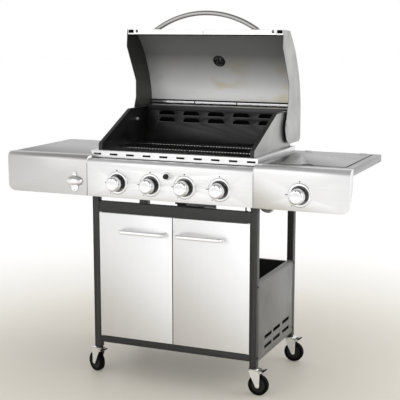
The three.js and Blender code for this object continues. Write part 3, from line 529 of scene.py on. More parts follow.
def across_x(bm, outline, x0, x1):
    """Adds a plate in at()'s millimetres: a (y, z) outline from x0 to x1."""
    plate(bm, [at(x0, y, z) for y, z in outline], Vector(((x1 - x0) * MM, 0, 0)))


def block(bm, low, high):
    """Adds a block between two corners in at()'s millimetres."""
    outline = ((low[0], low[2]), (high[0], low[2]), (high[0], high[2]), (low[0], high[2]))
    plate(bm, [at(x, low[1], z) for x, z in outline], Vector((0, (high[1] - low[1]) * MM, 0)))


def arc(centre, radius, start, end, steps):
    """Points of an arc, in the plane and unit of its centre, with angles in degrees."""
    turns = [math.radians(start + (end - start) * i / steps) for i in range(steps + 1)]
    return [(centre[0] + radius * math.cos(t), centre[1] + radius * math.sin(t)) for t in turns]


def facing(point, direction):
    """The matrix that puts a turned body at point, with its own -Y towards direction."""
    turn = FRONT.rotation_difference(Vector(direction)).to_matrix().to_4x4()
    return Matrix.Translation(point) @ turn


print("shape helpers ready")

# %% [markdown]
# ## Sheet panels
#
# A folded sheet has no razor edges: each bend has a radius and each cut edge is rubbed smooth.
# The CAD solids already hold the folds, holes and slots, so these pieces are copies of them. Their
# loose triangles are merged, flat areas become single faces, and a bevel rounds every edge.

# %% Round the edges of the CAD's sheet pieces
def refined(node, finish, width_mm=0.6, segments=2):
    """A copy of a CAD node with clean faces and rounded edges, which stands for it."""
    bm = bmesh.new()
    bm.from_mesh(frame["nodes"][node].data)
    bmesh.ops.remove_doubles(bm, verts=bm.verts, dist=CAD_MERGE)
    bmesh.ops.dissolve_limit(bm, angle_limit=math.radians(0.5), verts=bm.verts, edges=bm.edges)
    body = frame["nodes"][node]["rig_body"]
    return piece(node + "_sheet", bm, body, finish, node, rounded=width_mm, segments=segments)


SHEET_FINISHES = {
    CHARCOAL: ["front_left_post", "front_right_post", "rear_left_post", "rear_right_post",
               "front_top_rail", "back_panel", "bottom_shelf"],
    GREY_COAT: ["left_side_panel", "right_side_panel", "drip_pan"],
    DOOR_STEEL: ["left_door", "right_door"],
    STEEL: ["control_panel", "right_fascia", "firebox_rim"],
    SHADED_FASCIA_STEEL: ["left_fascia"],
    DARKENED_SHELF_STEEL: ["left_shelf", "right_shelf", "side_burner_lid"],
    ENAMEL: ["left_firebox_wall", "right_firebox_wall", "firebox_rear_wall", "grease_tray",
             "heat_shield"],
    CAST: ["side_burner_grate", "side_burner"],
}
for finish, nodes in SHEET_FINISHES.items():
    for node in nodes:
        refined(node, finish)
print("sheet pieces:", sum(len(nodes) for nodes in SHEET_FINISHES.values()))

# %% [markdown]
# ## The hood
#
# The hood is one curved skin of polished sheet between two coated side plates. Its section is
# drawn again here with many more steps, so that the curve is smooth: up the back, over an arc of
# about 412 mm, along the flat front and down a short lip. The lip, turned up while the hood stands
# open, is the bright band along its top edge.

# %% Draw the hood's section
HOOD_ARC_CENTRE = (121.8, 960)
HOOD_ARC_RADIUS = 412
HOOD_LIP = (322.5, 1277)
HOOD_SKIN = 2.0
HOOD_FOOT_Y = 470
FOOT_BEND = 20
ARC_END = 47.5
FRONT_FLAT, FRONT_DROP = 70, 4.5
LIP_HEIGHT = 402  # from the hood's lower edge to the bottom of its lip
hood_low, hood_high = box_mm("hood_shell")
side_low, side_high = box_mm("right_hood_side")


def hood_line(inset):
    """The hood's section as (y, z), pushed into the cooking space by inset."""
    back = HOOD_ARC_CENTRE[0] + HOOD_ARC_RADIUS
    return [
        (HOOD_FOOT_Y, hood_low[2] + inset),
        *arc((back - FOOT_BEND, hood_low[2] + FOOT_BEND), FOOT_BEND - inset, -90, 0, 8),
        *arc(HOOD_ARC_CENTRE, HOOD_ARC_RADIUS - inset, 0, ARC_END, 48),
        (HOOD_LIP[0] + FRONT_FLAT, HOOD_LIP[1] - FRONT_DROP - inset),
        (HOOD_LIP[0] + inset, HOOD_LIP[1] - inset),
        (HOOD_LIP[0] + 1 + inset, hood_low[2] + LIP_HEIGHT),
    ]


bm = bmesh.new()
section = hood_line(0) + hood_line(HOOD_SKIN)[::-1]
across_x(bm, section, hood_low[0], hood_high[0])
piece("hood_skin", bm, "hood", STEEL, "hood_shell", rounded=0.5)

LINER_THICKNESS = 0.4
LINER_GAP = 0.1
LINER_MARGIN = 0.5
LINER_POINTS = slice(10, -1)  # the section from the arc's start to the lip
bm = bmesh.new()
liner_back = hood_line(HOOD_SKIN + LINER_GAP)[LINER_POINTS]
liner_face = hood_line(HOOD_SKIN + LINER_GAP + LINER_THICKNESS)[LINER_POINTS]
across_x(bm, liner_back + liner_face[::-1], hood_low[0] + LINER_MARGIN, hood_high[0] - LINER_MARGIN)
piece("hood_liner", bm, "hood", LINER_STEEL, slot="stainless")
print("hood skin:", len(section), "points round its section")

# %% [markdown]
# ### Side plates
#
# Each side plate is pressed steel: silver coated outside with a shallow step just inside its edge,
# and dark inside, where smoke and heat reach it. The two faces are two pieces, so that each has
# its own finish.

# %% Side plates
HINGE = (370, 932)
LOBE = (414, 917)
LOBE_RADIUS = 60
STEP_MARGIN, STEP_WIDTH, STEP_DEPTH = 9, 1.5, 0.6


def side_outline():
    skin = hood_line(0)[1:-1]
    belly = [(315.4, 1213.4), (390, 1080), (389.3, 1016), (378, 991)]
    return skin + belly + arc(LOBE, LOBE_RADIUS, 143, 270, 20)


def hood_side(side, name):
    inner, outer = side_low[0], side_high[0]
    middle = (inner + outer) / 2
    outline = side_outline()
    outside = bmesh.new()
    across_x(outside, outline, side * outer, side * middle)
    face = max(outside.faces, key=lambda f: abs(f.calc_center_median().x) if len(f.verts) > 4 else 0)
    for width, depth in ((STEP_MARGIN, 0), (STEP_WIDTH, -STEP_DEPTH)):
        bmesh.ops.inset_region(
            outside, faces=[face], thickness=width * MM, depth=depth * MM, use_even_offset=True
        )
    piece(name + "_plate", outside, "hood", HOOD_COAT, name, rounded=0.3)
    lining = bmesh.new()
    across_x(lining, outline, side * inner, side * middle)
    piece(name + "_lining", lining, "hood", HOOD_DARK, slot="black_enamel", rounded=0.2)


hood_side(1, "right_hood_side")
hood_side(-1, "left_hood_side")
print("hood side plates:", len(side_outline()), "points each")

# %% [markdown]
# ### What is fixed to the hood
#
# Along the top edge sit the lip's rubber bumpers and screws. They stop just above the firebox rim
# when the hood is shut. Low inside, a bright folded strip in three lengths closes the joint between the liner
# and the back. The handle is one bowed tube, and the thermometer goes through the skin: its dial
# is outside and its clip shows inside.

# %% Handle
handle_low, handle_high = box_mm("hood_handle")
TUBE_RADIUS = 9
HANDLE_FOOT = [(0, 0), (13, 0), (13.5, 1.5), (12, 4), (0, 4)]
bm = bmesh.new()
half_span = handle_high[0] - TUBE_RADIUS
foot_z = HOOD_LIP[1] - 1.2
rise = handle_high[2] - TUBE_RADIUS - foot_z
bow_radius = (half_span ** 2 + rise ** 2) / (2 * rise)
spread = math.degrees(math.asin(half_span / bow_radius))
bow = arc((0, foot_z + rise - bow_radius), bow_radius, 90 + spread, 90 - spread, 64)
handle_y = (handle_low[1] + handle_high[1]) / 2
swept(bm, [at(x, handle_y, max(z, foot_z + 0.4)) for x, z in bow], TUBE_RADIUS, 28)
for side in (-1, 1):
    turned(bm, HANDLE_FOOT, facing(at(side * (half_span - 3), handle_y, foot_z + 4.6), UP), 32)
piece("hood_handle_bow", bm, "hood", SATIN_TUBE, "hood_handle")
print("handle bow radius", round(bow_radius), "mm")

# %% Lip trims, bumpers and liner strip
TRIM_HALF = 286
BUMPER_X = (289, 309)
bm = bmesh.new()
for side in (-1, 1):
    low_x, high_x = sorted(side * x for x in BUMPER_X)
    block(bm, (low_x, 319.6, 1263.5), (high_x, 323, 1275.5))
piece("hood_bumpers", bm, "hood", RUBBER, slot="rubber", rounded=1.2, segments=3)

bm = bmesh.new()
block(bm, (-TRIM_HALF, 321.2, 1258.6), (TRIM_HALF, 322.8, 1276.4))
piece("hood_lip_trim", bm, "hood", POLISHED, slot="bright_steel", rounded=0.5)

STRIP_ENDS = (-310, -121, 58, 310)
STRIP_GAP = 1.6
STRIP = [(521, 985), (525, 985), (525, 994), (521, 994)]
bm = bmesh.new()
for start, end in zip(STRIP_ENDS, STRIP_ENDS[1:]):
    across_x(bm, STRIP, start + STRIP_GAP, end - STRIP_GAP)
piece("hood_liner_strip", bm, "hood", POLISHED, slot="bright_steel", rounded=0.8)
# A black block behind the strip shows as dark lines above and below it and in its two gaps: painted shadow in
# the joint.
bm = bmesh.new()
block(bm, (STRIP_ENDS[0], 525.3, 980), (STRIP_ENDS[-1], 530, 999))
piece("hood_liner_shadow_gap", bm, "hood", RUBBER, slot="rubber", rounded=0.8)
# A black strip along the lip's lower edge: painted shadow under the lip. The short upright block in the
# middle is a small dark mark.
bm = bmesh.new()
block(bm, (-TRIM_HALF, 320.6, 1255.4), (TRIM_HALF, 322.6, 1258.2))
block(bm, (-1.2, 320.2, 1261), (1.2, 321.1, 1272))
piece("hood_lip_shadow_and_mark", bm, "hood", RUBBER, slot="rubber", rounded=0.3)
print("strip lengths:", len(STRIP_ENDS) - 1)

# %% [markdown]
# ### Thermometer
#
# Outside: a chrome bezel round a white dial with a plain scale and a needle. Inside: a dark
# washer, a bright stem plate and a wing nut that holds it.

# %% Thermometer
THERMOMETER_ANGLE = 28.6
DIAL_TICKS = 13
gauge_turn = math.radians(THERMOMETER_ANGLE)
outwards = Vector((0, math.cos(gauge_turn), math.sin(gauge_turn)))
gauge_place = at(
    0,
    HOOD_ARC_CENTRE[0] + HOOD_ARC_RADIUS * math.cos(gauge_turn),
    HOOD_ARC_CENTRE[1] + HOOD_ARC_RADIUS * math.sin(gauge_turn),
)
gauge_up = RIGHT.cross(outwards).normalized()


def on_gauge(profile, name, finish, *nodes, slot=None, steps=56):
    """A turned piece on the thermometer's axis; y in the profile is how far it stands out."""
    shape = bmesh.new()
    turned(shape, [(r, -y) for r, y in profile], facing(gauge_place, outwards), steps)
    return piece(name, shape, "hood", finish, *nodes, slot=slot)


def on_dial(root, away, across, places):
    """Points at (out, across) millimetres from a root in the plane of the dial."""
    return [root + away * r * MM + across * w * MM for r, w in places]


case = [(0, 0.6), (31, 0.6), (33, 3), (33, 6), (31, 10.6), (29, 11), (27.5, 9.5), (27.5, 8.5), (0, 8.5)]
on_gauge(case, "thermometer_case", CHROME, "thermometer")
dial = [(0, 8.55), (27.3, 8.55), (27.3, 8.9), (0, 8.9)]
on_gauge(dial, "thermometer_dial", DIAL_WHITE, slot="black_plastic")
washer = [(17, -2.2), (24, -2.2), (24.5, -3.2), (23, -6.2), (20, -7), (17.5, -5.8), (17, -2.2)]
on_gauge(washer, "thermometer_washer", PLASTIC, slot="black_plastic")
clip = [(0, -2.1), (17.2, -2.1), (17.2, -3), (15, -3.4), (0, -3.4)]
on_gauge(clip, "thermometer_plate", POLISHED, slot="bright_steel")
nut = [(0, -3.4), (6.4, -3.4), (6.4, -7), (5.4, -8), (2.6, -8), (2.6, -22), (0, -24)]
on_gauge(nut, "thermometer_stem", PLASTIC, slot="black_plastic", steps=6)

bm = bmesh.new()
for wing in range(3):
    a = math.radians(90 + 120 * wing)
    away = RIGHT * math.cos(a) + gauge_up * math.sin(a)
    across = RIGHT * -math.sin(a) + gauge_up * math.cos(a)
    root = gauge_place - outwards * 3.6 * MM
    corners = on_dial(root, away, across, ((4, -2.2), (18, -3.4), (18, 3.4), (4, 2.2)))
    plate(bm, corners, outwards * -2.6 * MM)
piece("thermometer_wings", bm, "hood", PLASTIC, slot="black_plastic", rounded=0.5)

bm = bmesh.new()
for tick in range(DIAL_TICKS):
    a = math.radians(225 - 270 * tick / (DIAL_TICKS - 1))
    away = LEFT * math.cos(a) + gauge_up * math.sin(a)
    across = LEFT * -math.sin(a) + gauge_up * math.cos(a)
    inner = 19 if tick % 3 else 17
    root = gauge_place + outwards * 8.9 * MM
    corners = on_dial(root, away, across, ((inner, -0.5), (25, -0.5), (25, 0.5), (inner, 0.5)))
    plate(bm, corners, outwards * 0.12 * MM)
needle_root = gauge_place + outwards * 9.1 * MM
needle_way = (RIGHT - gauge_up).normalized()
needle_side = needle_way.cross(outwards)
needle = on_dial(needle_root, needle_way, needle_side, ((-6, -1.2), (20, 0), (-6, 1.2)))
plate(bm, needle, outwards * 0.5 * MM)
piece("thermometer_scale", bm, "hood", INK, slot="black_plastic")
print("thermometer at", [round(v, 3) for v in gauge_place])

# %% [markdown]
# ## Knobs
#
# A gas knob is a chrome cap on a black skirt, in front of a polished bezel that is fixed to the
# panel. Its printed marks stay still while the knob turns, so they ride on the cart, and only the
# cap's own pointer turns with the knob. Each of the five is made by one function, at the place of
# its own joint.

# %% Knobs, bezels and marks
KNOB_BODIES = ["burner_knob_1", "burner_knob_2", "burner_knob_3", "burner_knob_4", "side_burner_knob"]
CAP = [(0, -44.6), (17, -44.9), (20.5, -44.4), (23.6, -42.4), (25.4, -39.2), (26, -35),
       (26.4, -21.5), (25.4, -20.2), (0, -20.2)]
SKIRT = [(0, -20), (25.2, -20), (26.6, -19), (27.4, -14), (28.7, -11), (29, -4.6), (28, -3.2), (0, -3.2)]
BEZEL = [(30, -0.1), (30, -1.6), (31.2, -2.6), (33, -3.1), (37.2, -3.1), (39.4, -2.4),
         (41.4, -0.9), (41.8, -0.1), (30, -0.1)]
POINTER = [(0, -45.3), (1.6, -45.2), (2.1, -44.3), (2.1, -43), (0, -43)]
POINTER_RADIUS = 20.5


def knob_centre(body):
    low, high = box_mm(body)
    return ((low[0] + high[0]) / 2, (low[2] + high[2]) / 2)


def knob(body):
    x, z = knob_centre(body)
    on_panel = Matrix.Translation(at(x, 0, z))
    cap = bmesh.new()
    turned(cap, CAP, on_panel, 72)
    piece(body + "_cap", cap, body, CHROME, body)
    skirt = bmesh.new()
    turned(skirt, SKIRT, on_panel, 72)
    piece(body + "_skirt", skirt, body, PLASTIC, slot="black_plastic")
    pointer = bmesh.new()
    turned(pointer, POINTER, Matrix.Translation(at(x, 0, z + POINTER_RADIUS)), 20)
    piece(body + "_pointer", pointer, body, PLASTIC, slot="black_plastic")
    bezel = bmesh.new()
    turned(bezel, BEZEL, on_panel, 72)
    piece(body + "_bezel", bezel, "cart", POLISHED, slot="bright_steel")


for body in KNOB_BODIES:
    knob(body)
print("knobs at", [tuple(round(v, 1) for v in knob_centre(b)) for b in KNOB_BODIES])

# %% [markdown]
# ## What repeats: Geometry Nodes
#
# Screws, nuts, rods, gas ports and printed dots are the same small shape set down many times. A
# `Pattern` is a Geometry Nodes tree that does this: it takes points that carry a `facing`
# direction, sets one unit on each, turns the unit's Z that way, and makes the copies real. The
# unit's sizes are the tree's named inputs, so one tree serves every screw on the grill.

# %% A pattern tree
class Pattern:
    """A Geometry Nodes tree that sets a unit on each point of its input geometry."""

    def __init__(self, name, finish, sizes):
        self.tree = bpy.data.node_groups.new(name, "GeometryNodeTree")
        self.finish = finish
        faces = self.tree.interface
        faces.new_socket("Geometry", in_out="INPUT", socket_type="NodeSocketGeometry")
        for size, value in sizes.items():
            faces.new_socket(size, in_out="INPUT", socket_type="NodeSocketFloat").default_value = value
        faces.new_socket("Geometry", in_out="OUTPUT", socket_type="NodeSocketGeometry")
        self.given = self.tree.nodes.new("NodeGroupInput").outputs

    def add(self, kind, links=None, values=None, **settings):
        return add_node(self.tree, kind, links, values, settings).outputs

    def cylinder(self, radius, depth, sides):
        sizes = {"Radius": radius, "Depth": depth}
        return self.add("GeometryNodeMeshCylinder", sizes, {"Vertices": sides})[0]

    def cone(self, low_radius, high_radius, depth, sides):
        sizes = {"Radius Bottom": low_radius, "Radius Top": high_radius, "Depth": depth}
        return self.add("GeometryNodeMeshCone", sizes, {"Vertices": sides})[0]

    def combined(self, operation, others, first=None):
        """A mesh boolean of several parts, on or from the first one where there is one."""
        links = {"Mesh 1": first} if first else None
        node = add_node(
            self.tree,
            "GeometryNodeMeshBoolean",
            links,
            settings={"operation": operation, "solver": "EXACT"},
        )
        for part in others:
            self.tree.links.new(part, node.inputs["Mesh 2"])
        return node.outputs["Mesh"]

    def scaled(self, socket, factor):
        """A size input times a fixed factor."""
        return self.add("ShaderNodeMath", {0: socket}, {1: factor}, operation="MULTIPLY")[0]

    def raised(self, geometry, height):
        """The geometry moved up its own Z by a size."""
        offset = self.add("ShaderNodeCombineXYZ", {"Z": height})[0]
        return self.add("GeometryNodeTransform", {"Geometry": geometry, "Translation": offset})[0]

    def joined(self, *parts):
        node = self.tree.nodes.new("GeometryNodeJoinGeometry")
        for part in parts:
            self.tree.links.new(part, node.inputs[0])
        return node.outputs[0]

    def end(self, unit):
        """Sets the unit on every point and closes the tree."""
        way = self.add(
            "GeometryNodeInputNamedAttribute", None, {"Name": "facing"}, data_type="FLOAT_VECTOR"
        )[0]
        turn = self.add("FunctionNodeAlignRotationToVector", {"Vector": way}, axis="Z")[0]
        links = {"Points": self.given["Geometry"], "Instance": unit, "Rotation": turn}
        placed = self.add("GeometryNodeInstanceOnPoints", links)[0]
        real = self.add("GeometryNodeRealizeInstances", {"Geometry": placed})[0]
        painted = self.add("GeometryNodeSetMaterial", {"Geometry": real}, {"Material": self.finish})[0]
        out = self.tree.nodes.new("NodeGroupOutput")
        self.tree.links.new(painted, out.inputs["Geometry"])
        return self

    def grow(self, name, body, slot, places, **sizes):
        """Runs the tree on (point, facing) pairs and keeps the result as a plain mesh on a body."""
        mesh = bpy.data.meshes.new(name)
        mesh.from_pydata([p for p, _ in places], [], [])
        facings = mesh.attributes.new("facing", "FLOAT_VECTOR", "POINT")
        facings.data.foreach_set("vector", [c for _, way in places for c in way])
        made = bpy.data.objects.new(name, mesh)
        bpy.context.scene.collection.objects.link(made)
        modifier = made.modifiers.new("pattern", "NODES")
        modifier.node_group = self.tree
        sockets = {s.name: s.identifier for s in self.tree.interface.items_tree if s.in_out == "INPUT"}
        for size, value in sizes.items():
            modifier[sockets[size.replace("_", " ").capitalize()]] = value * MM
        baked(made)
        tidy = bmesh.new()
        tidy.from_mesh(made.data)
        bmesh.ops.recalc_face_normals(tidy, faces=tidy.faces)
        tidy.to_mesh(made.data)
        tidy.free()
        made.data.polygons.foreach_set("use_smooth", [True] * len(made.data.polygons))
        made.data.set_sharp_from_angle(angle=FLAT_ANGLE)
        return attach(made, body)


print("pattern trees ready")

# %% [markdown]
# ### The units
#
# A screw head is a low cylinder and a cone with a cross cut through it. A nut is a hexagon on a
# washer. A rod is a cylinder with chamfered ends, and a very short rod is a printed dot or a gas
# port.

# %% Units for screws, nuts and rods
HEAD_SIDES = 20


def screw_pattern(name, finish):
    made = Pattern(name, finish, {"Radius": 0.004, "Height": 0.0025})
    radius, height = made.given["Radius"], made.given["Height"]
    half = made.scaled(height, 0.5)
    rim = made.cylinder(radius, half, HEAD_SIDES)
    crown = made.cone(radius, made.scaled(radius, 0.55), half, HEAD_SIDES)
    head = made.combined("UNION", [made.raised(rim, made.scaled(height, 0.25)), made.raised(crown, half)])
    long_side, short_side = made.scaled(radius, 1.1), made.scaled(radius, 0.28)
    cutters = []
    for x, y in ((long_side, short_side), (short_side, long_side)):
        size = made.add("ShaderNodeCombineXYZ", {"X": x, "Y": y, "Z": height})[0]
        bar = made.add("GeometryNodeMeshCube", {"Size": size})[0]
        cutters.append(made.raised(bar, height))
    return made.end(made.combined("DIFFERENCE", cutters, head))


def nut_pattern(name, finish):
    made = Pattern(name, finish, {"Radius": 0.006, "Height": 0.005})
    radius, height = made.given["Radius"], made.given["Height"]
    thin = made.scaled(height, 0.2)
    washer = made.cylinder(made.scaled(radius, 1.35), thin, 24)
    hexagon = made.cylinder(radius, made.scaled(height, 0.6), 6)
    thread = made.cylinder(made.scaled(radius, 0.5), made.scaled(height, 0.3), 14)
    parts = [
        made.raised(washer, made.scaled(height, 0.1)),
        made.raised(hexagon, made.scaled(height, 0.5)),
        made.raised(thread, made.scaled(height, 0.94)),
    ]
    return made.end(made.joined(*parts))


def rod_pattern(name, finish, sides):
    made = Pattern(name, finish, {"Radius": 0.0025, "Length": 0.1})
    radius, length = made.given["Radius"], made.given["Length"]
    chamfer = made.scaled(radius, 0.3)
    double = made.scaled(chamfer, 2)
    shaft_length = made.add("ShaderNodeMath", {0: length, 1: double}, operation="SUBTRACT")[0]
    shaft = made.cylinder(radius, shaft_length, sides)
    cone = made.cone(radius, made.scaled(radius, 0.7), chamfer, sides)
    top = made.raised(cone, made.scaled(shaft_length, 0.5))
    bottom = made.add("GeometryNodeTransform", {"Geometry": top}, {"Rotation": (math.pi, 0, 0)})[0]
    return made.end(made.joined(shaft, top, bottom))


BLACK_SCREWS = screw_pattern("black_screws", PLASTIC)
STEEL_SCREWS = screw_pattern("steel_screws", ZINC)
STEEL_NUTS = nut_pattern("steel_nuts", ZINC)
GRATE_RODS = rod_pattern("grate_rods", GRATE_ROD, 12)
STEEL_RODS = rod_pattern("steel_rods", POLISHED, 16)
BLACK_DOTS = rod_pattern("black_dots", INK, 14)
print("patterns:", len(bpy.data.node_groups))

# %% [markdown]
# ## Cooking grates
#
# Each half of the grate is welded rod: close bars from front to back, on two cross rods and a thicker
# black rod at each end. The cross rods are polished steel: a painted highlight for the bright dots where
# light catches them. One pattern makes every rod.

# %% Cooking grates
GRATE_BARS = 26
BAR_RADIUS = 2.3
END_RADIUS = 3.0
CROSS_ROD_RADIUS = 2.4
CROSS_ROD_INSET, END_INSET = 118, 4


def cooking_grate(node):
    (x0, y0, z0), (x1, y1, z1) = box_mm(node)
    bar_z = z1 - BAR_RADIUS
    cross_z = z0 + END_RADIUS + 0.6
    inset = END_RADIUS
    width, depth = x1 - x0, y1 - y0
    pitch = (width - 2 * inset) / (GRATE_BARS - 1)
    middle_y = (y0 + y1) / 2
    bars = [(at(x0 + inset + i * pitch, middle_y, bar_z), BACK) for i in range(GRATE_BARS)]
    made = GRATE_RODS.grow(node + "_bars", "cart", "cast_black", bars, radius=BAR_RADIUS, length=depth)
    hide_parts(node)
    middle_x = (x0 + x1) / 2
    # painted highlight: the cross rods are polished steel so that they show as bright dots between the bars
    bright_cross_rods = [(at(middle_x, y, cross_z), RIGHT) for y in (y0 + CROSS_ROD_INSET, y1 - CROSS_ROD_INSET)]
    STEEL_RODS.grow(node + "_cross_rods", "cart", "bright_steel", bright_cross_rods, radius=CROSS_ROD_RADIUS, length=width)
    ends = [(at(middle_x, y, cross_z), RIGHT) for y in (y0 + END_INSET, y1 - END_INSET)]
    GRATE_RODS.grow(node + "_end_rods", "cart", "cast_black", ends, radius=END_RADIUS, length=width)


for node in ("left_cooking_grate", "right_cooking_grate"):
    cooking_grate(node)
print("grate bars:", 2 * GRATE_BARS)

# %% [markdown]
# ## Burners
#
# Under the grates lie four steel tubes, blued and browned by heat. Each has two rows of small gas
# ports along its upper half, and a flared inlet at the front.

# %% Burners
BURNER_COUNT = 4
BURNER_PORTS = 34
PORT_ANGLE = math.radians(35)


def burner(node):
    (x0, y0, z0), (x1, y1, z1) = box_mm(node)
    x, z, radius = (x0 + x1) / 2, (z0 + z1) / 2, (x1 - x0) / 2
    profile = [
        (0, y1), (radius * 0.7, y1), (radius, y1 - 8), (radius, y0 + 52), (radius * 0.72, y0 + 38),
        (radius * 0.7, y0), (radius * 0.58, y0), (radius * 0.58, y0 + 38), (radius * 0.86, y0 + 54),
        (radius * 0.86, y1 - 10), (0, y1 - 4),
    ]
    shape = bmesh.new()
    turned(shape, profile, Matrix.Translation(at(x, 0, z)), 40)
    piece(node + "_tube", shape, "cart", STAINED, node)
    ports = []
    for side in (-1, 1):
        away = Vector((side * math.sin(PORT_ANGLE), 0, math.cos(PORT_ANGLE)))
        for i in range(BURNER_PORTS):
            y = y0 + 60 + (y1 - y0 - 80) * i / (BURNER_PORTS - 1)
            ports.append((at(x, y, z) + away * radius * MM, away))
    BLACK_DOTS.grow(node + "_ports", "cart", "black_plastic", ports, radius=1.1, length=0.5)


for number in range(1, BURNER_COUNT + 1):
    burner("burner_%d" % number)
print("gas ports:", BURNER_COUNT * 2 * BURNER_PORTS)

# %% [markdown]
# ## Door handles
#
# Each handle is a bent bar: straight across, with a rounded elbow at each end, welded to the door.
# A rod is swept along that path and then drawn out in height, which gives it an oval section.

# %% Door handles
ELBOW = 16
FLATTENED = 1.4


def bezier(a, b, c, steps):
    """Points of a quadratic curve from a to c, pulled towards b."""
    shares = [i / steps for i in range(steps + 1)]
    return [a * (1 - t) ** 2 + b * 2 * t * (1 - t) + c * t * t for t in shares]


def door_handle(side, node):
    (x0, y0, z0), (x1, y1, z1) = box_mm(node)
    z, radius = (z0 + z1) / 2, (z1 - z0) / 2
    ends = (x0 + radius, x1 - radius)
    bar_y = y0 + radius
    door_y = y1

    def elbow(x, inwards):
        corner = at(x, bar_y, z)
        return bezier(at(x, bar_y + ELBOW, z), corner, at(x + inwards * ELBOW, bar_y, z), 10)

    feet = [at(x, door_y, z) for x in ends]
    path = [feet[0]] + elbow(ends[0], 1) + elbow(ends[1], -1)[::-1] + [feet[1]]
    shape = bmesh.new()
    swept(shape, path, radius, 24)
    middle = at(0, 0, z)[2]
    for vertex in shape.verts:
        vertex.co.z = middle + (vertex.co.z - middle) * FLATTENED
    piece(node + "_bar", shape, side + "_door", HANDLE_STEEL, node)


for side in ("left", "right"):
    door_handle(side, side + "_door_handle")
print("door handles done")

# %% [markdown]
# ## Igniter and bottle opener
#
# The igniter is a black push button in a chrome ring. The bottle opener is a small casting: its
# CAD copy is rebuilt from fine cells and smoothed, so that its bowl, neck and tail flow together
# as cast metal does, and is then chromed.

# %% Igniter
(ix0, _, iz0), (ix1, _, iz1) = box_mm("igniter_button")
igniter_x, igniter_z = (ix0 + ix1) / 2, (iz0 + iz1) / 2
on_panel = Matrix.Translation(at(igniter_x, 0, igniter_z))
bm = bmesh.new()
button = [(0, -19.2), (4, -19.8), (7, -19.6), (8.2, -18.4), (8.5, -16), (8.5, -6), (5, -6), (5, 12), (0, 12)]
turned(bm, button, on_panel, 40)
piece("igniter_cap", bm, "igniter_button", PLASTIC, "igniter_button")
bm = bmesh.new()
ring = [(9.2, -0.1), (9.2, -7), (10.2, -7.8), (11.6, -7.2), (12.2, -3), (13.6, -1.6),
        (13.8, -0.1), (9.2, -0.1)]
turned(bm, ring, on_panel, 48)
piece("igniter_ring", bm, "cart", CHROME, slot="bright_steel")
print("igniter at", (round(igniter_x), round(igniter_z)))

# %% Bottle opener
OPENER_CELL = 1.1
bm = bmesh.new()
bm.from_mesh(frame["nodes"]["bottle_opener"].data)
bmesh.ops.remove_doubles(bm, verts=bm.verts, dist=CAD_MERGE)
opener = piece("bottle_opener_casting", bm, "cart", CHROME, "bottle_opener")
cells = opener.modifiers.new("cells", "REMESH")
cells.mode = "VOXEL"
cells.voxel_size = OPENER_CELL * MM
smooth = opener.modifiers.new("smooth", "SMOOTH")
smooth.factor = 0.5
smooth.iterations = 8
baked(opener)
opener.data.materials.clear()
opener.data.materials.append(CHROME)
opener.data.polygons.foreach_set("use_smooth", [True] * len(opener.data.polygons))
(ox0, _, oz0), (ox1, oy1, oz1) = box_mm("bottle_opener")
opener_x = (ox0 + ox1) / 2
screw_places = [(-5, oy1 - 5.6, oz1 - 7), (5, oy1 - 5.6, oz1 - 7), (0, oy1 - 4.6, oz0 + 6)]
opener_screws = [(at(opener_x + x, y, z), FRONT) for x, y, z in screw_places]
STEEL_SCREWS.grow("bottle_opener_screws", "cart", "zinc", opener_screws, radius=3.2, height=2.0)
print("opener faces:", len(opener.data.polygons))

# %% [markdown]
# ## Castors
#
# Each castor turns on its own stem, so its pieces are made in its own frame: x runs from the stem
# to the axle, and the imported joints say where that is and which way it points. The fork is zinc
# plated, the wheel is a hard rubber tyre on a moulded hub, and the pedal presses on the tyre.

# %% A castor's own frame
def castor_frame(name):
    """The matrix from a castor's own millimetres to the row frame, and its pedal's side."""
    stem = Vector(JOINTS[name + "_swivel"]["pos_m"])
    axle = Vector(JOINTS[name + "_roll"]["pos_m"])
    pedal = Vector(JOINTS[name + "_brake_press"]["pos_m"])
    trail = Vector((axle.x - stem.x, axle.y - stem.y, 0))
    angle = math.atan2(trail.y, trail.x)
    side = 1 if (pedal - stem).dot(trail) > 0 else -1
    place = Matrix.Translation(Vector((stem.x, stem.y, 0))) @ Matrix.Rotation(angle, 4, "Z")
    return place, trail.length / MM, axle.z / MM, side


def standing(x, y, z=0.0):
    """A turned body's Y axis stood upright at a point in castor millimetres."""
    return Matrix.Translation(Vector((x, y, z)) * MM) @ Matrix.Rotation(math.pi / 2, 4, "X")


def local_plate(bm, outline, y0, y1):
    """A plate in castor millimetres: an (x, z) outline from y0 to y1."""
    plate(bm, [Vector((x, y0, z)) * MM for x, z in outline], Vector((0, (y1 - y0) * MM, 0)))


# %% Fork, wheel and pedal
CHEEK = (13.6, 15.6)
CROWN = (-14, 27)
CROWN_Z = (91, 94.6)
CHEEK_TOP, CHEEK_STEP = 94, 84
LUG_TOP = 91.5
TYRE_HALF = 12
PEDAL_HALF = 11
PEDAL_RIBS = (-9.5, -5, 0, 5, 9.5)
PEDAL_SHIFT = 13


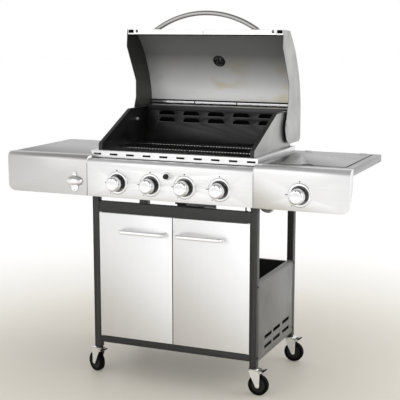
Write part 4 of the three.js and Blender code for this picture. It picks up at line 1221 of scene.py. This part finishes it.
def castor_fork(name, place, trail, axle_z, side):
    shape = bmesh.new()
    race = [(0, 97), (14, 97), (15, 96.6), (19, 96.2), (19, 92.6), (17.5, 91.2), (0, 91)]
    turned(shape, race, standing(0, 0), 48)
    crown = [(CROWN[0], CROWN_Z[0]), (CROWN[1], CROWN_Z[0]), (CROWN[1], CROWN_Z[1]), (CROWN[0], CROWN_Z[1])]
    local_plate(shape, crown, -CHEEK[1], CHEEK[1])
    outline = [
        (CROWN[0], CHEEK_TOP),
        (CROWN[0], CHEEK_STEP),
        *arc((trail, axle_z), 8.4, 205, 335, 12),
        (CROWN[1], CHEEK_STEP),
        (CROWN[1], CHEEK_TOP),
    ]
    lug_x = (CROWN[1] - 4, 34.5) if side > 0 else (-21.5, CROWN[0] + 4)
    lug = [(lug_x[0], CHEEK_STEP), (lug_x[1], CHEEK_STEP), (lug_x[1], LUG_TOP), (lug_x[0], LUG_TOP)]
    for y0, y1 in ((-CHEEK[1], -CHEEK[0]), CHEEK):
        local_plate(shape, outline, y0, y1)
        local_plate(shape, lug, y0, y1)
    bmesh.ops.transform(shape, matrix=place, verts=shape.verts)
    piece(name + "_fork_pressing", shape, name + "_castor", ZINC, name + "_fork", rounded=0.5)
    across = place.to_3x3() @ Vector((0, 1, 0))
    centre = place @ Vector((trail * MM, 0, axle_z * MM))
    ends = [(centre + across * (side_y * CHEEK[1] * MM), across * side_y) for side_y in (-1, 1)]
    STEEL_NUTS.grow(name + "_axle_nuts", name + "_castor", "zinc", ends, radius=4.4, height=2.6)


def mirrored(half):
    """A closed wheel profile from its half on the -Y side."""
    return half + [(radius, -y) for radius, y in reversed(half)] + half[:1]


def castor_wheel(name, place, trail, axle_z):
    edge = TYRE_HALF
    rim = axle_z
    tyre_half = [(27.5, -edge + 1), (30, -edge), (33.4, -edge + 0.2), (rim - 1.2, -edge + 2),
                 (rim, -edge + 5), (rim, -2), (rim - 0.5, -1)]
    tyre = mirrored(tyre_half)
    hub_half = [(4.4, -edge), (10, -edge), (11.5, -edge + 1), (13, -8), (26, -7.4), (27.4, -9.5)]
    hub = mirrored(hub_half)
    axle = place @ Matrix.Translation(Vector((trail, 0, axle_z)) * MM)
    shape = bmesh.new()
    turned(shape, tyre, axle, 72)
    piece(name + "_tyre", shape, name + "_wheel", RUBBER, name + "_wheel")
    shape = bmesh.new()
    turned(shape, hub, axle, 48)
    piece(name + "_hub", shape, name + "_wheel", PLASTIC, slot="black_plastic")


def castor_pedal(name, place, side):
    turn = place
    if side < 0:
        about_face = Matrix.Rotation(math.pi, 4, "Z")
        turn = place @ Matrix.Translation(RIGHT * PEDAL_SHIFT * MM) @ about_face
    shape = bmesh.new()
    barrel = [(0, -13.2), (2.4, -13.2), (3, -12.6), (3, 12.6), (2.4, 13.2), (0, 13.2)]
    turned(shape, barrel, Matrix.Translation(Vector((31, 0, 87.5)) * MM), 24)
    tread = [(30, 86.2), (33, 85), (40, 88.6), (47, 93.5), (46.4, 96.4), (38, 93), (31, 90)]
    local_plate(shape, tread, -PEDAL_HALF, PEDAL_HALF)
    for y in PEDAL_RIBS:
        local_plate(shape, [(39, 92.6), (45.6, 95.4), (45.4, 96.8), (38.6, 94)], y - 0.9, y + 0.9)
    bmesh.ops.transform(shape, matrix=turn, verts=shape.verts)
    piece(name + "_pedal_moulding", shape, name + "_brake", PLASTIC, name + "_brake_pedal", rounded=0.3)


CORNERS = ("front_left", "front_right", "rear_left", "rear_right")
for name in CORNERS:
    place, trail, axle_z, side = castor_frame(name)
    castor_fork(name, place, trail, axle_z, side)
    castor_wheel(name, place, trail, axle_z)
    castor_pedal(name, place, side)
    print(name, "castor: trail", round(trail, 1), "mm, pedal side", side)

# %% [markdown]
# ## Gas pipes
#
# A steel pipe runs along behind the control panel, with a brass valve and nozzle for each knob.
# A bent tube takes gas from its right end, dips below the panel beside the front post and rises to
# the side burner's valve: its bend is what shows under the panel.

# %% Manifold
PIPE_Y = 54
PIPE_RADIUS = 8
FEED_RADIUS = 6
FEED_ROUTE = [(270, 54, 736), (284, 78, 716), (304, 94, 680), (330, 96, 658), (356, 92, 662),
              (374, 80, 690), (400, 62, 726), (440, 54, 736), (484.5, 54, 736)]
FEED_STEPS = 6


def smooth_route(points, steps):
    """A Catmull-Rom curve through points, with that many steps to each stretch."""
    ends = [points[0]] + points + [points[-1]]
    route = []
    for a, b, c, d in zip(ends, ends[1:], ends[2:], ends[3:]):
        for i in range(steps):
            t = i / steps
            square = 2 * a - 5 * b + 4 * c - d
            cube = 3 * b - a - 3 * c + d
            route.append(0.5 * (2 * b + (c - a) * t + square * t ** 2 + cube * t ** 3))
    return route + [points[-1]]


knob_places = [knob_centre(body) for body in KNOB_BODIES]
pipe_z = knob_places[0][1]
bm = bmesh.new()
swept(bm, [at(x, PIPE_Y, pipe_z) for x in (-230, 0, 276)], PIPE_RADIUS, 24)
swept(bm, smooth_route([at(*point) for point in FEED_ROUTE], FEED_STEPS), FEED_RADIUS, 20)
piece("gas_pipes", bm, "cart", ZINC, "gas_manifold", slot="zinc")
bm = bmesh.new()
valve = [(0, -0.6), (3.9, -0.6), (3.9, 13), (8, 13), (8, 18), (10.8, 20), (10.8, 44), (9, 47), (0, 47)]
for x, z in knob_places:
    turned(bm, valve, Matrix.Translation(at(x, 0, z)), 24)
for x, z in knob_places[:BURNER_COUNT]:
    nozzle = [(0, 0), (6, 0), (6, 22), (4.6, 24), (4.6, 36), (3, 40), (0, 40)]
    turned(bm, nozzle, facing(at(x, PIPE_Y, z), DOWN), 20)
turned(bm, [(0, -12), (11, -12), (11, 8), (9, 12), (0, 12)], facing(at(-240, PIPE_Y, pipe_z), LEFT), 6)
piece("gas_valves", bm, "cart", BRASS, slot="brass")
print("valves:", len(knob_places))

# %% [markdown]
# ## Firebox fittings
#
# The outer face of each firebox wall has the hood's silver coat; its inner face stays enamel.
# Behind every louvre slot a pressed scoop keeps rain out. It is near-black and matte: painted shade, so that
# the slots look black from the front.

# %% Wall skins and louvre scoops
SKIN_THICKNESS = 0.4
LOUVRE_PITCH = 104.5
LOUVRE_BASES = (917, 944)
LOUVRE_HALF = 35
LOUVRES_A_SIDE = 2
SCOOP_END = 0.8
(_, wall_y0, _), (wall_x1, wall_y1, wall_top) = box_mm("right_firebox_wall")
rim_top = box_mm("firebox_rim")[1][2]
wall_outline = [(wall_y0 + 1, rim_top + 0.8), (wall_y1 - 1, rim_top + 0.8), (wall_y1 - 1, wall_top - 1),
                (293, wall_top - 1), (wall_y0 + 1, 868)]
for side, name in ((1, "right"), (-1, "left")):
    bm = bmesh.new()
    skin_x = wall_x1 + 0.05
    across_x(bm, wall_outline, side * skin_x, side * (skin_x + SKIN_THICKNESS))
    piece(name + "_wall_skin", bm, "cart", HOOD_COAT, slot="hood_silver", rounded=0.1)

(_, rear_face, _), (_, rear_y, _) = box_mm("firebox_rear_wall")
louvres = [
    (i * LOUVRE_PITCH, base) for base in LOUVRE_BASES for i in range(-LOUVRES_A_SIDE, LOUVRES_A_SIDE + 1)
]
SCOOP = [(0.1, 18), (4, 17), (9, 8), (9.5, -5), (8.5, -5), (8, 7.6), (3.6, 16), (0.1, 16.8)]
SCOOP_CHEEK = [(0.1, 17), (8.5, 8), (8.8, -5), (0.1, -5)]


def behind_wall(outline, base):
    """An outline given from the rear wall's back face and a louvre's base."""
    return [(rear_y + y, base + z) for y, z in outline]


bm = bmesh.new()
for x, base in louvres:
    across_x(bm, behind_wall(SCOOP, base), x - LOUVRE_HALF, x + LOUVRE_HALF)
    for start in (x - LOUVRE_HALF, x + LOUVRE_HALF - SCOOP_END):
        across_x(bm, behind_wall(SCOOP_CHEEK, base), start, start + SCOOP_END)
piece("louvre_scoops", bm, "cart", LOUVRE_SHADE_BLACK, slot="black_enamel")
bm = bmesh.new()
front_y = rear_face + 12
for x, base in louvres:
    block(bm, (x - LOUVRE_HALF, front_y - 1.2, base - 2.2), (x + LOUVRE_HALF, front_y - 0.1, base - 0.4))
# grey strips under the louvres on the black enamel wall: painted highlight on the slots' lower edges
piece("louvre_lip_highlights", bm, "cart", GREY_COAT, slot="black_enamel", rounded=0.3)
print("louvres:", len(louvres))

# %% [markdown]
# ## Marks on the panel
#
# Each knob has three plain printed marks: a dot over it for off, a bar to its left for high and a
# short bar at its lower left for low.

# %% Printed marks
MARK_RADIUS = 46
MARK_DEPTH = 0.4
LOW_TURN = 235


def mark_bars(places, size):
    """Flat printed bars on the panel's face: (x, z, turn in degrees) each."""
    for x, z, turn in places:
        a = math.radians(turn)
        along = Vector((math.cos(a), 0, math.sin(a))) * size[0] * MM
        across = Vector((-math.sin(a), 0, math.cos(a))) * size[1] * MM
        middle = at(x, -0.05, z)
        ends = (middle - along, middle + along)
        corners = [ends[0] - across, ends[1] - across, ends[1] + across, ends[0] + across]
        plate(bm, corners, Vector((0, -MARK_DEPTH * MM, 0)))


dots = [(at(x, -0.2, z + MARK_RADIUS), FRONT) for x, z in knob_places]
BLACK_DOTS.grow("off_marks", "cart", "black_plastic", dots, radius=2.3, length=MARK_DEPTH)
bm = bmesh.new()
mark_bars([(x - MARK_RADIUS, z, 0) for x, z in knob_places], (3.6, 1.4))
low_x = MARK_RADIUS * math.cos(math.radians(LOW_TURN))
low_z = MARK_RADIUS * math.sin(math.radians(LOW_TURN))
mark_bars([(x + low_x, z + low_z, LOW_TURN) for x, z in knob_places], (1.6, 1.2))
piece("heat_marks", bm, "cart", INK, slot="black_plastic")
print("marks:", 3 * len(knob_places))

# %% [markdown]
# ## Brackets and hinge pins
#
# Under the control panel, gussets and small brackets carry it on the top rail. The doors turn on
# pins at their outer corners, and a small black pad sits on the right door's hinge edge, so it
# swings with that door. The hood turns on a bolt through each side plate.

# %% Brackets
rail_top = box_mm("front_top_rail")[1][2]
panel_bottom = box_mm("control_panel")[0][2]
BRACKETS = [(-131.4, -109), (276, 281)]
bm = bmesh.new()
for x0, x1 in BRACKETS:
    block(bm, (x0, 45, rail_top + 0.2), (x1, 47, panel_bottom + 8))
    block(bm, (x0, 45, rail_top + 0.2), (x1, 60, rail_top + 1.8))
for side in (-1, 1):
    gusset = [(side * 296.8, panel_bottom + 8), (side * 296.8, rail_top + 2), (side * 286, panel_bottom + 8)]
    plate(bm, [at(x, 50, z) for x, z in gusset], Vector((0, 2 * MM, 0)))
piece("panel_brackets", bm, "cart", CHARCOAL, slot="black_paint")
bm = bmesh.new()
block(bm, (22, 118, 650), (138, 120, 668))
block(bm, (22, 118, 668), (138, 134, 670))
piece("tray_bracket", bm, "cart", ZINC, slot="zinc", rounded=0.4)
print("brackets:", len(BRACKETS) + 3)

# %% Pins, bolts and the door catch
PIN = [(0, -1.6), (2.6, -1.6), (2.6, 1.6), (0, 1.6)]
PIN_INSET = 3.5
EAR_FROM, EAR_PAST = 9, 2.2
LIP_SCREW = (273.5, 323.2, 1269.8)
bm = bmesh.new()
(_, door_y0, door_z0), (door_x1, _, door_z1) = box_mm("right_door")
for side in (-1, 1):
    for z in (door_z0, door_z1):
        turned(bm, PIN, facing(at(side * (door_x1 - PIN_INSET), door_y0 + 8, z), UP), 20)
        low_x, high_x = sorted((side * (door_x1 - EAR_FROM), side * (door_x1 + EAR_PAST)))
        level = z - 1.5 if z == door_z0 else z + 0.3
        block(bm, (low_x, door_y0 + 3, level), (high_x, door_y0 + 14, level + 1.2))
piece("door_hinge_pins", bm, "cart", ZINC, slot="zinc")
bm = bmesh.new()
block(bm, (door_x1 + 0.2, door_y0 + 1.4, 450), (door_x1 + 1.5, door_y0 + 7.5, 476))
piece("door_catch", bm, "right_door", PLASTIC, slot="black_plastic", rounded=0.3)
hood_bolts = [(at(side * (side_high[0] + 0.1), *HINGE), Vector((side, 0, 0))) for side in (-1, 1)]
STEEL_NUTS.grow("hood_hinge_bolts", "hood", "zinc", hood_bolts, radius=4.6, height=4)
wall_nuts = [(at(side * (wall_x1 - 2.2), *HINGE), Vector((-side, 0, 0))) for side in (-1, 1)]
STEEL_NUTS.grow("hood_hinge_nuts", "cart", "zinc", wall_nuts, radius=6, height=9)
lip_screws = [(at(side * LIP_SCREW[0], *LIP_SCREW[1:]), FRONT) for side in (-1, 1)]
BLACK_SCREWS.grow("hood_lip_screws", "hood", "black_plastic", lip_screws, radius=5.8, height=4)
print("pins, bolts and screws placed")

# %% [markdown]
# ## Screws in the trolley
#
# Black screws hold the side panels, the cabinet floor and the back panel to the posts, and black
# rivets hold the plugs at the posts' feet. Zinc screws hold the back edges of the two shelves.

# %% Trolley screws
POST_SCREW_LEVELS = (134, 392, 800)
(_, post_y0, post_z0), (post_x1, post_y1, _) = box_mm("front_right_post")
(_, _, back_z0), (back_x1, back_y1, back_z1) = box_mm("back_panel")
post_y = (post_y0 + post_y1) / 2
back_post_y = sum(box_mm("rear_right_post")[i][1] for i in (0, 1)) / 2
trolley_screws = []
for side in (-1, 1):
    outwards = Vector((side, 0, 0))
    for y in (post_y, back_post_y):
        for z in POST_SCREW_LEVELS:
            trolley_screws.append((at(side * post_x1, y, z), outwards))
    for z in (back_z0 + 15, back_z1 - 15):
        trolley_screws.append((at(side * (back_x1 - 10), back_y1, z), BACK))
BLACK_SCREWS.grow("trolley_screws", "cart", "black_plastic", trolley_screws, radius=3.6, height=2.2)
shelf_screws = []
(shelf_x0, _, shelf_z0), (shelf_x1, shelf_y1, shelf_z1) = box_mm("right_shelf")
for side in (-1, 1):
    for x in (shelf_x0 + 40, shelf_x1 - 40):
        shelf_screws.append((at(side * x, shelf_y1, shelf_z0 + 13), BACK))
STEEL_SCREWS.grow("shelf_screws", "cart", "zinc", shelf_screws, radius=3.4, height=2)
plug_rivets = []
for name in CORNERS:
    (x0, y0, _), (x1, y1, _) = box_mm(name + "_post")
    for x in (x0 + 4.5, x1 - 4.5):
        plug_rivets.append((at(x, y0, post_z0 + 7), FRONT))
BLACK_SCREWS.grow("post_plug_rivets", "cart", "black_plastic", plug_rivets, radius=2.4, height=1.6)
print("screws:", len(trolley_screws) + len(shelf_screws) + len(plug_rivets))

# %% [markdown]
# ## The side burner's lid
#
# The lid turns on two small barrels at its rear edge and rests on a thin dark seal, which draws a
# line round it.

# %% Lid hinges and seal
(lid_x0, lid_y0, _), (lid_x1, lid_y1, lid_z1) = box_mm("side_burner_lid")
SEAL_WIDTH = 3
BARREL = [(0, -14), (3.2, -14), (3.6, -13), (3.6, 13), (3.2, 14), (0, 14)]
bm = bmesh.new()
for x0, x1, y0, y1 in (
    (lid_x0 - SEAL_WIDTH, lid_x0 - 0.6, lid_y0 - SEAL_WIDTH, lid_y1 + SEAL_WIDTH),
    (lid_x1 + 0.6, lid_x1 + SEAL_WIDTH, lid_y0 - SEAL_WIDTH, lid_y1 + SEAL_WIDTH),
    (lid_x0 - SEAL_WIDTH, lid_x1 + SEAL_WIDTH, lid_y0 - SEAL_WIDTH, lid_y0 - 0.6),
    (lid_x0 - SEAL_WIDTH, lid_x1 + SEAL_WIDTH, lid_y1 + 0.6, lid_y1 + SEAL_WIDTH),
):
    block(bm, (x0, y0, shelf_z1 + 0.05), (x1, y1, shelf_z1 + 0.5))
piece("lid_seal", bm, "cart", RUBBER, slot="rubber")
bm = bmesh.new()
for x in (lid_x0 + 30, lid_x1 - 30):
    turned(bm, BARREL, facing(at(x, lid_y1 + 5, lid_z1 - 1.2), RIGHT), 20)
piece("lid_hinges", bm, "cart", ZINC, slot="zinc")
print("lid fitted")

# %% [markdown]
# Under the lid, the burner stands in a pressed pan: straight sides at the top, then a slope all
# round to a smaller floor with the hole that the burner's throat comes through.

# %% Side burner pan
PAN_WALL = 1.6
PAN_KNEE = 16
PAN_SLOPE = 50
(pan_x0, pan_y0, pan_z0), (pan_x1, pan_y1, pan_z1) = box_mm("side_burner_pan")


def pan_ring(bm, inset, z):
    corners = ((pan_x0 + inset, pan_y0 + inset), (pan_x1 - inset, pan_y0 + inset),
               (pan_x1 - inset, pan_y1 - inset), (pan_x0 + inset, pan_y1 - inset))
    return [bm.verts.new(at(x, y, z)) for x, y in corners]


bm = bmesh.new()
levels = [(0, pan_z1), (0, pan_z1 - PAN_KNEE), (PAN_SLOPE, pan_z0)]
inner_levels = [(inset + PAN_WALL, z + (PAN_WALL if z == pan_z0 else 0)) for inset, z in levels[::-1]]
rings = [pan_ring(bm, inset, z) for inset, z in levels + inner_levels]
for first, second in list(zip(rings, rings[1:])) + [(rings[-1], rings[0])]:
    if first is rings[2]:
        continue
    for i in range(4):
        bm.faces.new([first[i], first[(i + 1) % 4], second[(i + 1) % 4], second[i]])
bm.faces.new(rings[2])
bm.faces.new(rings[3])
piece("side_burner_pan_pressing", bm, "cart", ENAMEL, "side_burner_pan", rounded=0.8)
print("pan pressed")

# %% [markdown]
# ## Seams
#
# Dark lines close the joints in front: between the control panel and the fascias, and between the
# doors, where a black strip on the left door covers the gap.

# %% Seams
bm = bmesh.new()
panel_x1, panel_z1 = box_mm("control_panel")[1][0], box_mm("control_panel")[1][2]
for side in (-1, 1):
    low_x, high_x = sorted((side * (panel_x1 - 0.5), side * (panel_x1 + 1.2)))
    block(bm, (low_x, -0.2, panel_bottom + 1), (high_x, 0.6, panel_z1 - 18))
piece("panel_seams", bm, "cart", INK, slot="black_plastic")
bm = bmesh.new()
block(bm, (-1.3, door_y0 + 1.2, door_z0 + 1), (0.9, door_y0 + 10, door_z1 - 1))
piece("door_gap_strip", bm, "left_door", RUBBER, slot="rubber")
print("seams closed")

# %% [markdown]
# ## The floor
#
# A plain warm grey floor, which fades to white away from the grill so that it has no far edge. It
# glows a little, more with distance, as a lit backdrop does.

# %% Floor
FLOOR_HALF = 30.0
FLOOR_NEAR = (0.67, 0.635, 0.56)
FLOOR_FAR = (1.0, 1.0, 1.0)
FADE_FROM, FADE_TO = 0.5, 2.6
GLOW_FROM, GLOW_TO = 0.2, 1.3
GLOW_NEAR, GLOW_FAR = 0.14, 0.40

floor_mesh = bpy.data.meshes.new("studio_floor")
floor_corners = [(x * FLOOR_HALF, y * FLOOR_HALF, 0) for x, y in ((-1, -1), (1, -1), (1, 1), (-1, 1))]
floor_mesh.from_pydata(floor_corners, [], [(0, 1, 2, 3)])
floor = bpy.data.objects.new("studio_floor", floor_mesh)
bpy.context.scene.collection.objects.link(floor)
paint = Recipe("floor_paint", FLOOR_NEAR, 0.0, 0.55)
distance = paint.add("ShaderNodeVectorMath", {0: paint.place}, operation="LENGTH")
fade = paint.add(
    "ShaderNodeMapRange",
    {"Value": distance.outputs["Value"]},
    {"From Min": FADE_FROM, "From Max": FADE_TO},
    interpolation_type="SMOOTHSTEP",
)
floor_colour = paint.mix(fade.outputs[0], FLOOR_NEAR, FLOOR_FAR)
paint.drive("Base Color", floor_colour)
paint.drive("Emission Color", floor_colour)
glow = paint.add(
    "ShaderNodeMapRange",
    {"Value": distance.outputs["Value"]},
    {"From Min": GLOW_FROM, "From Max": GLOW_TO, "To Min": GLOW_NEAR, "To Max": GLOW_FAR},
)
paint.drive("Emission Strength", glow.outputs[0])
floor_mesh.materials.append(paint.material)
print("floor", 2 * FLOOR_HALF, "m square")
